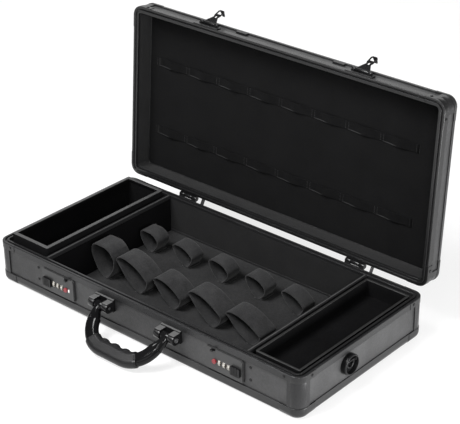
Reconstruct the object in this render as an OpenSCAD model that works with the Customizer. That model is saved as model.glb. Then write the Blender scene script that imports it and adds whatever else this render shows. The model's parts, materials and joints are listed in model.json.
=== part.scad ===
/* [Case] */
// Width of the case over its frames
case_w = 560; // [540:5:600]
// Depth of the case over its frames, front to back
case_d = 270; // [262:2:296]
// Height of the base, underside to parting line
base_h = 65; // [63:1:78]
// Height of the lid, parting line to top
lid_h = 34; // [32:1:44]
// Radius of the upright corners, outside
corner_r = 15; // [13:0.5:18]
// Angle of the open lid from closed
lid_open = 94.5; // [85:0.5:100]
// Gap between the two rims when the case is shut
rim_gap = 0.4; // [0.3:0.1:0.8]

/* [Walls] */
// Thickness of the wall panels
panel_t = 3; // [2.4:0.1:3.4]
// Thickness of the outer flanges of the frame profiles
skin_t = 1.6; // [1.2:0.1:2]
// Thickness of the inner leg of the frame profiles
inner_leg_t = 1.45; // [1.1:0.05:1.8]
// Clearance of a panel in the channel of a profile
channel_gap = 0.15; // [0.1:0.05:0.3]
// Thickness of the floor and top sheets
sheet_t = 1.8; // [1.4:0.1:2.4]
// Thickness of the fabric board lining the walls
lining_t = 2.7; // [2:0.1:2.9]
// Thickness of the lining on the floor
floor_lining_t = 1.5; // [1:0.1:2.4]
// Thickness of the lining inside the top of the lid
top_lining_t = 2; // [1.5:0.1:3]
// Air left between a wall panel and its lining
lining_gap = 0.4; // [0.3:0.1:0.6]

/* [Rim frames] */
// Height of the rim flange on the outside of the wall
rim_h = 10; // [9:0.5:12]
// Width of the rim face
rim_w = 9.5; // [9.4:0.1:10.5]
// Depth of the solid bar along the rim
rim_bar_t = 4; // [3.6:0.1:5]
// Depth of the groove in the rim of the base
groove_depth = 2.6; // [2.4:0.1:3]
// Width of the groove in the rim of the base
groove_w = 3; // [2.8:0.1:3.2]
// Distance of the groove from the outer face
groove_inset = 3.4; // [3.2:0.1:3.6]
// Thickness of the tongue on the rim of the lid
tongue_t = 1.2; // [1:0.1:1.3]
// Height of the tongue on the rim of the lid
tongue_h = 1.8; // [1.2:0.1:2]
// Chamfer along the rim edges
rim_chamfer = 0.7; // [0.4:0.1:1]

/* [Edge frames] */
// Height of the frame along the bottom edge of the base
base_edge_h = 16.5; // [15:0.5:20]
// Rounding of the bottom edge of the base
base_edge_r = 9; // [7:0.5:9.5]
// Height of the frame along the top edge of the lid
lid_edge_h = 10; // [9:0.5:11]
// Rounding of the top edge of the lid
lid_edge_r = 7.5; // [6:0.5:8]
// Width of the foot flange under the floor sheet
foot_w = 20; // [18.5:0.5:26]
// Thickness of the foot flange
foot_t = 1.6; // [1.2:0.1:2]

/* [Corners] */
// Length of the moulded corner caps along each side
cap_len = 33; // [30:1:40]
// How far the corner caps stand proud of the frames
cap_proud = 0.6; // [0.4:0.1:1]
// Length of the upright corner posts along each side
post_len = 21; // [20.5:0.5:24]
// Distance of the corner rivets from the corner
rivet_inset = 25; // [23:0.5:28]
// Distance of the wall rivets outboard of a lock plate
lock_rivet_out = 10; // [8:0.5:12]
// Height of the lower wall rivet above the foot of the plate
lock_rivet_low = 8.5; // [6:0.5:12]
// Height of the upper wall rivet above the foot of the plate
lock_rivet_high = 27.5; // [22:0.5:29]
// Place of the left rubber bumper on the lid's front wall
bumper_left = 83; // [70:1:100]
// Place of the right rubber bumper
bumper_right = 92; // [70:1:110]
// Radius of a rivet head
rivet_r = 2.1; // [1.6:0.1:2.6]

/* [Trays] */
// Width of each tray
tray_w = 73.5; // [66:0.5:80]
// Gap between a tray and the end of the front or back wall lining
tray_end_gap = 6.7; // [4:0.1:12]
// Depth of the shallow tray
shallow_tray_h = 27; // [22:1:36]
// Height of the deep tray's rim above the parting line
deep_tray_rise = 9; // [5:0.5:14]
// Thickness of the tray walls
tray_wall = 3.5; // [2.5:0.1:4.5]
// Width of the rolled rim of the deep tray
deep_rim_w = 5.5; // [4.8:0.1:7]
// Thickness of the tray floors
tray_floor = 2.5; // [2:0.1:4]
// Gap between a tray and its divider
tray_side_gap = 4.4; // [3:0.1:6]
// Gap between a tray and the end wall lining
tray_wall_gap = 3.4; // [2.5:0.1:5]
// Thickness of the dividers
divider_t = 4.5; // [3.5:0.1:6]
// Depth of the edging on top of a divider
edging_h = 5; // [3:0.5:8]
// Height of the ledges that carry the shallow tray
ledge_h = 10; // [6:0.5:14]
// Gap left under a tray
tray_seat_gap = 0.2; // [0.1:0.1:0.4]

/* [Loops] */
// Distance from one elastic loop to the next
loop_pitch = 70.4; // [68:0.2:72]
// Distance of the first loop's seam from the divider
loop_side = 24.4; // [24.4:0.2:36]
// Thickness of the elastic
elastic_t = 1.8; // [1.4:0.1:2.2]
// Width of the front elastic
front_band_w = 34; // [28:1:40]
// Centre of the front row, measured from the middle of the case
front_row_y = -27; // [-32:0.5:-24]
// Width of the rear elastic
rear_band_w = 26; // [22:1:32]
// Centre of the rear row, measured from the middle of the case
rear_row_y = 67; // [60:0.5:72]
// Size of the rear loops against the front ones
rear_scale = 0.68; // [0.6:0.02:0.76]
// Height of the rear loops against their width
rear_flat = 1.05; // [0.8:0.05:1.1]

/* [Locks] */
// Width of a lock plate
lock_w = 65; // [64:0.5:68]
// Height of a lock plate
lock_h = 34; // [33.5:0.5:36]
// Thickness of a lock plate
lock_t = 3.4; // [2.8:0.1:4]
// Radius of the top corners of a lock plate
lock_corner_r = 5; // [3:0.5:7]
// Half width of the lock housing behind the plate
housing_half_w = 28; // [27.5:0.1:28.4]
// Depth of the lock housing behind the plate
housing_depth = 12; // [10.5:0.5:16]
// Height of the dial row above the foot of the plate
row_z = 14; // [13:0.5:14.5]
// Radius of a number dial
dial_r = 6; // [5.4:0.1:6.2]
// Width of a number dial
dial_w = 5.2; // [4.6:0.1:5.6]
// Distance from dial to dial
dial_pitch = 8; // [7.8:0.1:8.2]
// How far the dials stand out of the plate
dial_proud = 1.4; // [0.8:0.1:1.8]
// Radius of the dial axle
axle_r = 1.2; // [0.8:0.1:1.6]
// Radial clearance of a turning fit
fit_gap = 0.05; // [0.03:0.01:0.08]
// Gap around a moving lock part
lock_gap = 0.3; // [0.2:0.05:0.4]
// Centre of the thumb slider, outboard of the lock centre
slider_s = 20.5; // [20.2:0.1:21]
// Width of the thumb slider
slider_w = 16; // [14:0.5:16]
// Travel of the thumb slider
slider_travel = 2.5; // [2:0.25:2.5]
// Height of the thumb slider
slider_h = 13; // [11:0.5:14]
// How far the thumb slider stands out
slider_proud = 3; // [2:0.1:4]
// Centre of the release button, inboard of the lock centre
button_s = 16.4; // [16.3:0.1:17]
// Radius of the release button
button_r = 3.4; // [2.8:0.1:3.5]
// How far the release button stands out
button_proud = 1.9; // [1.6:0.1:2.4]
// Travel of the release button
button_travel = 1.5; // [1:0.1:1.5]

/* [Hasps] */
// Centre of the hasp, inboard of the lock centre
hasp_s = 18; // [16:0.5:18]
// Width of the hasp base plate
hasp_base_w = 45; // [40:1:50]
// Height of the hasp barrel above the parting line
hasp_axis_h = 11; // [10.6:0.1:11.6]
// Radius of the hasp barrel
hasp_barrel_r = 2.3; // [2.1:0.1:2.4]
// Radius of the hasp pin
hasp_pin_r = 1.1; // [0.9:0.1:1.2]
// Thickness of the hasp tongue
hasp_t = 1.6; // [1.2:0.1:1.8]
// Width of the hasp tongue at its barrel
hasp_root_w = 22; // [20:0.5:26]
// Width of the hasp frame around its window
hasp_head_w = 11; // [10.6:0.2:13]
// Width of the hasp window
hasp_window_w = 7.6; // [7.4:0.1:8]
// Height of the hasp window
hasp_window_h = 7; // [6:0.2:8]
// Length of the finger lip at the end of the hasp
hasp_lip = 9; // [6:0.5:11]
// Angle that the hasp stands open from its closed place
hasp_open = 155; // [110:1:158]

/* [Handle] */
// Distance of each bracket from the middle of the case
bracket_x = 62; // [58:0.5:66]
// Width of a handle bracket
bracket_w = 35; // [34.5:0.5:38]
// Height of a handle bracket
bracket_h = 19; // [17:0.5:19]
// Thickness of the bracket ears
ear_t = 10; // [9:0.5:10]
// Gap between the brackets and the rim frame
bracket_rim_gap = 0.5; // [0.3:0.1:1]
// Radius of the handle pins
handle_pin_r = 2; // [1.6:0.1:2.4]
// Width of the handle's arms
arm_w = 20; // [18:0.5:20.5]
// Thickness of the handle's arms
arm_t = 12.6; // [11:0.2:12.6]
// Reach of the handle from its pivot to the middle of the bar
handle_reach = 52; // [48:0.5:56]
// Radius of the handle's bends on their middle line
bend_r = 39; // [34:0.5:40]
// Width of the rubber grip
grip_w = 23; // [22:0.5:24]
// Thickness of the rubber grip
grip_t = 15; // [14.6:0.1:16]
// Angle that the resting handle hangs below level
handle_drop = 38; // [30:1:38]

/* [Hinges] */
// Distance of each hinge from the middle of the case
hinge_x = 159; // [140:1:170]
// Width of a hinge
hinge_w = 33; // [30:1:40]
// Distance of the hinge axis behind the rim
hinge_back = 4.4; // [4.4:0.1:5]
// Height of the hinge axis above the parting line
hinge_up = 2.3; // [2:0.1:2.5]
// Radius of the hinge barrel
hinge_r = 3.6; // [3.2:0.1:3.7]
// Radius of the hinge pin
hinge_pin_r = 1.5; // [1.2:0.1:1.8]
// Thickness of a hinge leaf
leaf_t = 1.6; // [1.2:0.1:1.8]
// Distance of a stop tab from the middle of its hinge
stop_offset = 27; // [24:0.5:32]

/* [Strap rings] */
// Place of a strap cup, in front of the middle of the case
cup_y = 34; // [10:1:60]
// Height of a strap cup's centre
cup_z = 38.5; // [36:0.5:38.5]
// Radius of a strap cup
cup_r = 15; // [14.5:0.1:16]
// How far a strap cup stands out of the wall
cup_out = 8; // [7.6:0.1:10]
// Radius of the strap ring's wire
ring_wire_r = 1.5; // [1.2:0.1:1.6]
// Radius of the strap ring's bow
ring_bow_r = 7; // [6:0.1:7]

/* [Hidden] */
$fn = 64;

black = [0.07, 0.07, 0.075];
gloss_black = [0.03, 0.03, 0.035];
dark_grey = [0.2, 0.2, 0.21];
wall_grey = [0.3, 0.3, 0.31];
fabric_black = [0.1, 0.1, 0.105];
elastic_black = [0.16, 0.16, 0.165];
steel = [0.55, 0.56, 0.58];
red = [0.7, 0.15, 0.18];

// Places across the wall, measured inwards from the outer face
panel_in = skin_t + panel_t;
leg_in = panel_in + channel_gap;
leg_out = leg_in + inner_leg_t;
lining_out = leg_out + lining_gap;
lining_in = lining_out + lining_t;
sheet_in = leg_out + 3.9;
seat = 0.1;
channel_end_gap = 0.3;

// Heights in the base and, with the case shut, in the lid
base_channel = 8;
lid_channel = 5.5;
leg_grip = 4;
edge_leg_short = 2.5;
floor_z = foot_t + sheet_t + floor_lining_t;
parting = base_h + rim_gap;
lid_top = parting + lid_h;
hinge_y = case_d/2 + hinge_back;
hinge_z = base_h + hinge_up;
inner_w = case_w - 2*lining_in;
inner_d = case_d - 2*lining_in;

// Layout of the inside
tray_x = inner_w/2 - tray_wall_gap - tray_w/2;
divider_x = tray_x - tray_w/2 - tray_side_gap - divider_t/2;
tray_l = inner_d - 2*tray_end_gap;
shallow_floor = base_h - shallow_tray_h;

// Places on the front wall
lock_wall_gap = 0.9;
lock_x = divider_x - divider_t/2 - lock_wall_gap - housing_half_w;
lock_z = base_h - rim_h - 0.5 - lock_h;
panel_y = case_d/2 - skin_t;
hasp_x = lock_x - hasp_s;
hasp_gap = 0.3;
hasp_y = -(panel_y + lock_t + hasp_gap + hasp_t/2);
hasp_z = parting + hasp_axis_h - rim_gap;
bracket_plate_t = 4.5;
pivot_z = base_h - rim_h - bracket_rim_gap - bracket_h/2;
loop_first = divider_x - divider_t/2 - loop_side;
pivot_y = -(panel_y + bracket_plate_t + arm_t/2 + 0.8);

// The sheet-metal bar along the rim of the base, height up
module base_rim_profile() {
    groove_end = groove_inset + groove_w;
    bar = base_h - rim_bar_t;
    polygon([
        [rim_chamfer, base_h], [groove_inset, base_h], [groove_inset, base_h - groove_depth],
        [groove_end, base_h - groove_depth], [groove_end, base_h],
        [rim_w - rim_chamfer/2, base_h], [rim_w, base_h - rim_chamfer/2], [rim_w, bar],
        [leg_out, bar], [leg_out, bar - leg_grip], [leg_in, bar - leg_grip], [leg_in, bar],
        [skin_t, bar], [skin_t, base_h - rim_h], [0, base_h - rim_h],
        [0, base_h - rim_chamfer]]);
}

// The same bar on the lid, with a tongue that meets the groove
module lid_rim_profile() {
    tongue = groove_inset + groove_w/2 - tongue_t/2;
    slot_w = 1.5;
    bar = parting + rim_bar_t;
    polygon([
        [rim_chamfer, parting], [tongue - slot_w, parting],
        [tongue - slot_w, parting + slot_w], [tongue, parting + slot_w],
        [tongue, parting - tongue_h], [tongue + tongue_t, parting - tongue_h],
        [tongue + tongue_t, parting], [rim_w - rim_chamfer/2, parting],
        [rim_w, parting + rim_chamfer/2], [rim_w, bar], [leg_out, bar],
        [leg_out, bar + leg_grip], [leg_in, bar + leg_grip], [leg_in, bar],
        [skin_t, bar], [skin_t, parting + rim_h], [0, parting + rim_h],
        [0, parting + rim_chamfer]]);
}

// Rounded edge frame from its outer plane upwards: height, rounding, channel floor
module edge_profile(h, r, channel) {
    leg_top = h - edge_leg_short;
    difference() {
        polygon([
            [0, 0], [foot_w, 0], [foot_w, foot_t], [sheet_in, foot_t],
            [sheet_in, channel], [leg_out, channel], [leg_out, leg_top],
            [leg_in, leg_top], [leg_in, channel], [skin_t, channel], [skin_t, h], [0, h]]);
        difference() {
            square([r, r]);
            translate([r, r])
                circle(r, $fn = 96);
        }
    }
}

module base_edge_profile() {
    edge_profile(base_edge_h, base_edge_r, base_channel);
}

module lid_edge_profile() {
    translate([0, lid_top])
        mirror([0, 1])
            edge_profile(lid_edge_h, lid_edge_r, lid_channel);
}

// A profile run along +X: its first axis points inwards, its second up
module run(length) {
    rotate([90, 0, 90])
        linear_extrude(length)
            children();
}

// Four straight lengths of a profile, stopping short of each corner
module frame_rails(clear) {
    for (half_turn = [0, 180]) {
        rotate([0, 0, half_turn])
            translate([clear - case_w/2, -case_d/2, 0])
                run(case_w - 2*clear)
                    children();
        rotate([0, 0, half_turn + 90])
            translate([clear - case_d/2, -case_w/2, 0])
                run(case_d - 2*clear)
                    children();
    }
}

module at_corners() {
    for (mx = [0, 1], my = [0, 1])
        mirror([mx, 0, 0])
            mirror([0, my, 0])
                translate([case_w/2 - corner_r, corner_r - case_d/2, 0])
                    children();
}

// Four moulded corners: the profile turned round the corner with two legs
module frame_corners(leg) {
    straight = leg - corner_r;
    tall = base_h + 2*lid_h;
    at_corners() {
        rotate([0, 0, -90])
            rotate_extrude(angle = 90, $fn = 96)
                intersection() {
                    translate([corner_r, 0])
                        mirror([1, 0])
                            children();
                    square([2*corner_r, tall]);
                }
        translate([-straight, -corner_r, 0])
            run(straight)
                children();
        rotate([0, 0, 90])
            translate([0, -corner_r, 0])
                run(straight)
                    children();
    }
}

// Thicken a profile outwards, as far in as its outer flange
module proud_rim() {
    children();
    intersection() {
        translate([-cap_proud, 0])
            children();
        translate([-cap_proud, 0])
            square([cap_proud + skin_t, 2*lid_top]);
    }
}

// The same over the whole rounding, with the panel channel kept open
module proud_edge(low, high) {
    difference() {
        union() {
            children();
            translate([-cap_proud, 0])
                children();
        }
        translate([skin_t, low])
            square([leg_in - skin_t, high - low]);
    }
}

// Plan of a layer that follows one corner, between two depths in from the outer face
module corner_bend(from, to) {
    intersection() {
        difference() {
            circle(corner_r - from, $fn = 96);
            circle(corner_r - to, $fn = 96);
        }
        translate([0, -corner_r])
            square(corner_r);
    }
}

module corner_layer(from, to, leg) {
    corner_bend(from, to);
    translate([-leg, from - corner_r])
        square([leg, to - from]);
    translate([corner_r - to, 0])
        square([to - from, leg]);
}

// Upright posts that hold the ends of the wall panels
module posts(low, high, core_low, core_high) {
    leg = post_len - corner_r;
    bite = 1;
    at_corners() {
        translate([0, 0, low])
            linear_extrude(high - low)
                difference() {
                    corner_layer(0, leg_out, leg);
                    translate([-leg - seat, skin_t - corner_r])
                        square([leg + seat - bite, leg_in - skin_t]);
                    translate([corner_r - leg_in, bite])
                        square([leg_in - skin_t, leg + seat - bite]);
                }
        translate([0, 0, core_low])
            linear_extrude(core_high - core_low)
                corner_layer(skin_t, panel_in, bite);
    }
}

// Panel ends, measured from the outer corner
panel_end = corner_r + 1 + channel_end_gap;

module wall_panel(length, low, high) {
    translate([-length/2, skin_t, low])
        cube([length, panel_t, high - low]);
}

module wall_panels(low, high) {
    for (half_turn = [0, 180]) {
        rotate([0, 0, half_turn])
            translate([0, -case_d/2, 0])
                wall_panel(case_w - 2*panel_end, low, high);
        rotate([0, 0, half_turn + 90])
            translate([0, -case_w/2, 0])
                wall_panel(case_d - 2*panel_end, low, high);
    }
}

// Four lining boards and four turned corner pieces, with a seam between them
module wall_lining(low, high) {
    seam = corner_r + 0.1;
    for (half_turn = [0, 180]) {
        rotate([0, 0, half_turn])
            translate([seam - case_w/2, lining_out - case_d/2, low])
                cube([case_w - 2*seam, lining_t, high - low]);
        rotate([0, 0, half_turn + 90])
            translate([seam - case_d/2, lining_out - case_w/2, low])
                cube([case_d - 2*seam, lining_t, high - low]);
    }
    at_corners()
        translate([0, 0, low])
            linear_extrude(high - low)
                corner_bend(lining_out, lining_in);
}

// Rectangle with round corners, centred
module rounded_plan(w, d, r) {
    square([w - 2*r, d], center = true);
    square([w, d - 2*r], center = true);
    for (x = [-1, 1], y = [-1, 1])
        translate([x*(w/2 - r), y*(d/2 - r)])
            circle(r);
}

// Floor or top sheet, stepped so that it lies level with the foot flange
module stepped_sheet() {
    step = foot_w + seat;
    edge = sheet_in + seat;
    translate([0, 0, foot_t])
        linear_extrude(sheet_t)
            rounded_plan(case_w - 2*edge, case_d - 2*edge, corner_r - edge);
    translate([step - case_w/2, step - case_d/2, 0])
        cube([case_w - 2*step, case_d - 2*step, foot_t + sheet_t]);
}

module base_bottom_panel() {
    color(black)
        stepped_sheet();
}

module base_wall_panels() {
    color(wall_grey)
        difference() {
            wall_panels(base_channel + channel_end_gap, base_h - rim_bar_t - channel_end_gap);
            for (side = [-1, 1])
                at_lock(side)
                    housing_block(lock_gap, panel_t + 1);
        }
}

module base_corner_posts() {
    color(dark_grey)
        posts(base_edge_h, base_h - rim_h,
            base_channel + channel_end_gap, base_h - rim_bar_t - channel_end_gap);
}

module base_rim_rails() {
    color(dark_grey)
        frame_rails(cap_len)
            base_rim_profile();
}

module base_rim_corners() {
    color(black)
        frame_corners(cap_len)
            proud_rim()
                base_rim_profile();
}

module base_edge_rails() {
    color(dark_grey)
        frame_rails(cap_len)
            base_edge_profile();
}

module base_edge_corners() {
    color(black)
        frame_corners(cap_len)
            proud_edge(base_channel, base_edge_h + 1)
                base_edge_profile();
}

module base_floor_lining() {
    edge = sheet_in + seat;
    color(fabric_black)
        translate([0, 0, foot_t + sheet_t])
            linear_extrude(floor_lining_t)
                rounded_plan(case_w - 2*edge, case_d - 2*edge, corner_r - edge);
}

module base_wall_lining() {
    color(fabric_black)
        difference() {
            wall_lining(base_channel + seat, base_h - rim_bar_t - seat);
            for (side = [-1, 1])
                at_lock(side)
                    housing_block(lock_gap, lining_in + lining_t);
        }
}

// Lid parts are drawn shut and turned up about the hinge axis
module opened() {
    translate([0, hinge_y, hinge_z])
        rotate([-lid_open, 0, 0])
            translate([0, -hinge_y, -hinge_z])
                children();
}

module lid_top_panel() {
    color(black)
        opened()
            translate([0, 0, lid_top])
                mirror([0, 0, 1])
                    stepped_sheet();
}

module lid_wall_panels() {
    color(wall_grey)
        opened()
            wall_panels(parting + rim_bar_t + channel_end_gap,
                lid_top - lid_channel - channel_end_gap);
}

module lid_corner_posts() {
    color(dark_grey)
        opened()
            posts(parting + rim_h, lid_top - lid_edge_h,
                parting + rim_bar_t + channel_end_gap,
                lid_top - lid_channel - channel_end_gap);
}

module lid_rim_rails() {
    color(dark_grey)
        opened()
            frame_rails(cap_len)
                lid_rim_profile();
}

module lid_rim_corners() {
    color(black)
        opened()
            frame_corners(cap_len)
                proud_rim()
                    lid_rim_profile();
}

module lid_edge_rails() {
    color(dark_grey)
        opened()
            frame_rails(cap_len)
                lid_edge_profile();
}

module lid_edge_corners() {
    color(black)
        opened()
            frame_corners(cap_len)
                proud_edge(lid_top - lid_edge_h - 1, lid_top - lid_channel)
                    lid_edge_profile();
}

lid_ceiling = lid_top - foot_t - sheet_t - top_lining_t;

module lid_top_lining() {
    edge = sheet_in + seat;
    color(fabric_black)
        opened()
            translate([0, 0, lid_ceiling])
                linear_extrude(top_lining_t)
                    rounded_plan(case_w - 2*edge, case_d - 2*edge, corner_r - edge);
}

module lid_wall_lining() {
    color(fabric_black)
        opened()
            wall_lining(parting + rim_bar_t + seat, lid_top - lid_channel - seat);
}

// Flat elastic sewn down every band_pitch, bowed a little between the seams
band_pitch = 60;
band_count = 8;
band_first = 222;
band_w = 13;
band_t = 1.2;
band_bow = 2.4;
band_rows = [-47, 63];
band_steps = 8;
band_flat = 17;

function band_lift(x) =
    let (bow = band_pitch - band_flat, u = (x + bow/2)/bow)
    (u <= 0 || u >= 1) ? 0 : band_bow*pow(sin(180*u), 2);

function band_line(lift) = [
    for (i = [0:band_count - 1], k = [0:band_steps])
        let (x = (k/band_steps - 0.5)*(band_pitch - band_flat))
        [i*band_pitch - band_first + x, lid_ceiling - band_lift(x) - lift]];

module lid_elastic_bands() {
    tail = 9;
    last = (band_count - 1)*band_pitch - band_first;
    bow_half = (band_pitch - band_flat)/2;
    ends = [-band_first - bow_half - tail, last + bow_half + tail];
    top = band_line(0);
    low = band_line(band_t);
    color(elastic_black)
        opened()
            for (y = band_rows)
                translate([0, y + band_w/2, 0])
                    rotate([90, 0, 0])
                        linear_extrude(band_w)
                            polygon(concat([[ends[0], lid_ceiling]], top,
                                [[ends[1], lid_ceiling], [ends[1], lid_ceiling - band_t]],
                                [for (i = [len(low) - 1:-1:0]) low[i]],
                                [[ends[0], lid_ceiling - band_t]]));
}

// Dividers and trays
module dividers() {
    color(fabric_black)
        for (side = [-1, 1])
            translate([side*divider_x - divider_t/2, 0.2 - inner_d/2, floor_z])
                cube([divider_t, inner_d - 0.4, base_h - floor_z - edging_wall]);
}

edging_wall = 0.6;

module divider_edgings() {
    outer = divider_t + 2*edging_wall;
    color(dark_grey)
        for (side = [-1, 1])
            translate([side*divider_x, rim_w - case_d/2 + 0.3, base_h - edging_h])
                rotate([90, 0, 180])
                    linear_extrude(case_d - 2*rim_w - 0.6)
                        difference() {
                            translate([-outer/2, 0])
                                square([outer, edging_h]);
                            translate([-divider_t/2, -1])
                                square([divider_t, edging_h + 1 - edging_wall]);
                        }
}

module tray_ledges() {
    bearing = 4;
    length = tray_l - 20;
    top = shallow_floor - tray_seat_gap;
    wall_side = inner_w/2 - tray_wall_gap - bearing;
    color(fabric_black) {
        translate([divider_x + divider_t/2, -length/2, top - ledge_h])
            cube([tray_side_gap + bearing, length, ledge_h]);
        translate([wall_side, -length/2, top - ledge_h])
            cube([tray_wall_gap + bearing, length, ledge_h]);
    }
}

// An open box with a rim: centre, foot height, height, rim width
module tray(x, foot, h, rim) {
    bead_h = 4;
    translate([x, 0, foot])
        difference() {
            linear_extrude(h)
                rounded_plan(tray_w, tray_l, 2.5);
            translate([0, 0, tray_floor])
                linear_extrude(h - bead_h - tray_floor)
                    square([tray_w - 2*tray_wall, tray_l - 2*tray_wall], center = true);
            translate([0, 0, h - bead_h - 1])
                linear_extrude(bead_h + 2)
                    square([tray_w - 2*rim, tray_l - 2*rim], center = true);
        }
}

module left_tray() {
    foot = floor_z + tray_seat_gap;
    color(fabric_black)
        tray(-tray_x, foot, base_h + deep_tray_rise - foot, deep_rim_w);
}

module right_tray() {
    color(fabric_black)
        tray(tray_x, shallow_floor, shallow_tray_h, tray_wall);
}

// Elastic loops: an upright and a leaning form, seam at the origin, mixed by lean
upright_loop = [[0, 0], [-17.8, 8.4], [-29.9, 26.2], [-31.8, 39.2], [-25.2, 45.8], [-11.2, 46.7],
    [2.8, 45.8], [14, 39.2], [20.5, 29], [15.8, 15]];
leaning_loop = [[0, 0], [-21.5, 14], [-37.3, 30.8], [-43.9, 40.2], [-35.5, 45.8], [-20.5, 44.8],
    [-3.7, 38.3], [11.2, 28], [17.7, 20.6], [12, 8]];
loop_steps = 4;
front_leans = [0, 0.9, 0.9, 1, 1.05];
front_heights = [1.12, 1.04, 0.88, 0.97, 0.85];
rear_leans = [0, 0.5, 0.3, 0.4, 0.8];
// The first loop of the front row is squeezed by the divider beside it
squeeze = [0.88, 1, 0.87, 1, 1];
squeeze_shift = [5, 0, -3, 0, 0];
rear_shift = 1;

function blend_point(p, i, t) =
    let (n = len(p), a = p[(i + n - 1) % n], b = p[i], c = p[(i + 1) % n], d = p[(i + 2) % n])
    0.5*(2*b + (c - a)*t + (2*a - 5*b + 4*c - d)*t*t + (3*b - a - 3*c + d)*t*t*t);

function closed_curve(p) = [
    for (i = [0:len(p) - 1], k = [0:loop_steps - 1]) blend_point(p, i, k/loop_steps)];

function loop_outline(lean, size, height, width) =
    closed_curve([for (i = [0:len(upright_loop) - 1])
        let (q = (1 - lean)*upright_loop[i] + lean*leaning_loop[i])
        [q[0]*size*width, q[1]*size*height]]);

function inward(p, t) = [
    for (i = [0:len(p) - 1])
        let (n = len(p), d = p[(i + 1) % n] - p[(i + n - 1) % n], m = norm(d))
        p[i] + t*[-d[1], d[0]]/m*-1];

module elastic_loop(lean, size, height, narrow, width) {
    outer = loop_outline(lean, size, height, narrow);
    seam = 9;
    low = min([for (q = outer) q[1]]);
    translate([0, width/2, floor_z - low])
        rotate([90, 0, 0])
            linear_extrude(width) {
                difference() {
                    polygon(outer);
                    polygon(inward(outer, elastic_t));
                }
                translate([-seam/2, low])
                    square([seam, elastic_t]);
            }
}

module front_loops() {
    color(elastic_black)
        for (i = [0:4])
            translate([i*loop_pitch + squeeze_shift[i] - loop_first, front_row_y, 0])
                elastic_loop(front_leans[i], 1, front_heights[i], squeeze[i], front_band_w);
}

module rear_loops() {
    color(elastic_black)
        for (i = [0:4])
            translate([i*loop_pitch + rear_shift - loop_first, rear_row_y, 0])
                elastic_loop(rear_leans[i], rear_scale, rear_flat, 1, rear_band_w);
}

// Rivet heads on the corner caps, and beside the lock plates
module rivet_head() {
    rotate([90, 0, 0]) {
        cylinder(r = rivet_r, h = 0.7);
        cylinder(r = rivet_r*0.65, h = 1.1);
    }
}

module corner_rivets(z) {
    out = cap_proud;
    for (half_turn = [0, 180], side = [-1, 1]) {
        rotate([0, 0, half_turn])
            translate([side*(case_w/2 - rivet_inset), -case_d/2 - out, z])
                rivet_head();
        rotate([0, 0, half_turn + 90])
            translate([side*(case_d/2 - rivet_inset), -case_w/2 - out, z])
                rivet_head();
    }
}

module base_rivets() {
    color(black) {
        corner_rivets(base_h - rim_h/2);
        for (side = [-1, 1], z = [lock_rivet_low, lock_rivet_high])
            translate([side*(lock_x + lock_w/2 + lock_rivet_out), -panel_y, lock_z + z])
                rivet_head();
    }
}

module lid_rivets() {
    color(black)
        opened()
            corner_rivets(parting + rim_h/2);
}

module lid_bumpers() {
    bumper_w = 20;
    bumper_h = 6.5;
    bumper_t = 2.6;
    color(black)
        opened()
            for (x = [-bumper_left, bumper_right])
                translate([x, -panel_y, lid_top - lid_edge_h - bumper_h/2 - 1])
                    rotate([90, 0, 0])
                        linear_extrude(bumper_t)
                            rounded_plan(bumper_w, bumper_h, 2);
}

// Locks: local X runs outboard, Y is 0 on the wall panel and negative outside
module at_lock(side) {
    mirror([side < 0 ? 1 : 0, 0, 0])
        translate([lock_x, -panel_y, lock_z])
            children();
}

housing_foot = 2;
housing_h = lock_h - 2*housing_foot;
dial_y = dial_r - dial_proud - lock_t;
stem_w = 8;
stem_h = 7;
stem_s = slider_s - slider_w/2 + 3;
slide_t = 2;
slide_y = 0.6;
rail_low = 23;
rail_high = 27;
nose_w = 3.4;
nose_h = 2.6;
nose_z = lock_h - 3;
nose_s = -hasp_s - 2.6;
nose_out = 2;
button_flange = 0.5;

module housing_block(gap, depth) {
    translate([-housing_half_w - gap, -0.5, housing_foot - gap])
        cube([2*housing_half_w + 2*gap, depth + 0.5, housing_h + 2*gap]);
}

module plate_outline() {
    foot_r = 2;
    translate([-lock_w/2, foot_r])
        square([lock_w, lock_h - foot_r - lock_corner_r]);
    translate([foot_r - lock_w/2, 0])
        square([lock_w - 2*foot_r, lock_h - lock_corner_r]);
    translate([lock_corner_r - lock_w/2, lock_h - 2*lock_corner_r])
        square([lock_w - 2*lock_corner_r, 2*lock_corner_r]);
    for (s = [-1, 1]) {
        translate([s*(lock_w/2 - foot_r), foot_r])
            circle(foot_r);
        translate([s*(lock_w/2 - lock_corner_r), lock_h - lock_corner_r])
            circle(lock_corner_r);
    }
}

module dial_pockets() {
    for (i = [-1:1])
        translate([i*dial_pitch, dial_y, row_z])
            rotate([0, 90, 0])
                cylinder(r = dial_r + lock_gap, h = dial_w + 2*lock_gap, center = true);
}

module nose_slot() {
    translate([nose_s - lock_gap, -lock_t - 1, nose_z - nose_h/2 - lock_gap])
        cube([nose_w + slider_travel + 2*lock_gap, lock_t + 2, nose_h + 2*lock_gap]);
}

module lock_plate() {
    rim = 1.1;
    difference() {
        union() {
            rotate([90, 0, 0])
                linear_extrude(lock_t - 1)
                    plate_outline();
            rotate([90, 0, 0])
                linear_extrude(lock_t)
                    intersection() {
                        plate_outline();
                        translate([rim, 0])
                            plate_outline();
                        translate([-rim, -rim])
                            plate_outline();
                    }
        }
        dial_pockets();
        nose_slot();
        translate([stem_s - lock_gap, -lock_t - 1, row_z - stem_h/2 - lock_gap])
            cube([stem_w + slider_travel + 2*lock_gap, lock_t + 2, stem_h + 2*lock_gap]);
        translate([-button_s, 1, row_z])
            rotate([90, 0, 0])
                cylinder(r = button_r + 0.1, h = lock_t + 2);
    }
}

module lock_plates() {
    color(dark_grey)
        for (side = [-1, 1])
            at_lock(side)
                lock_plate();
}

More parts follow.
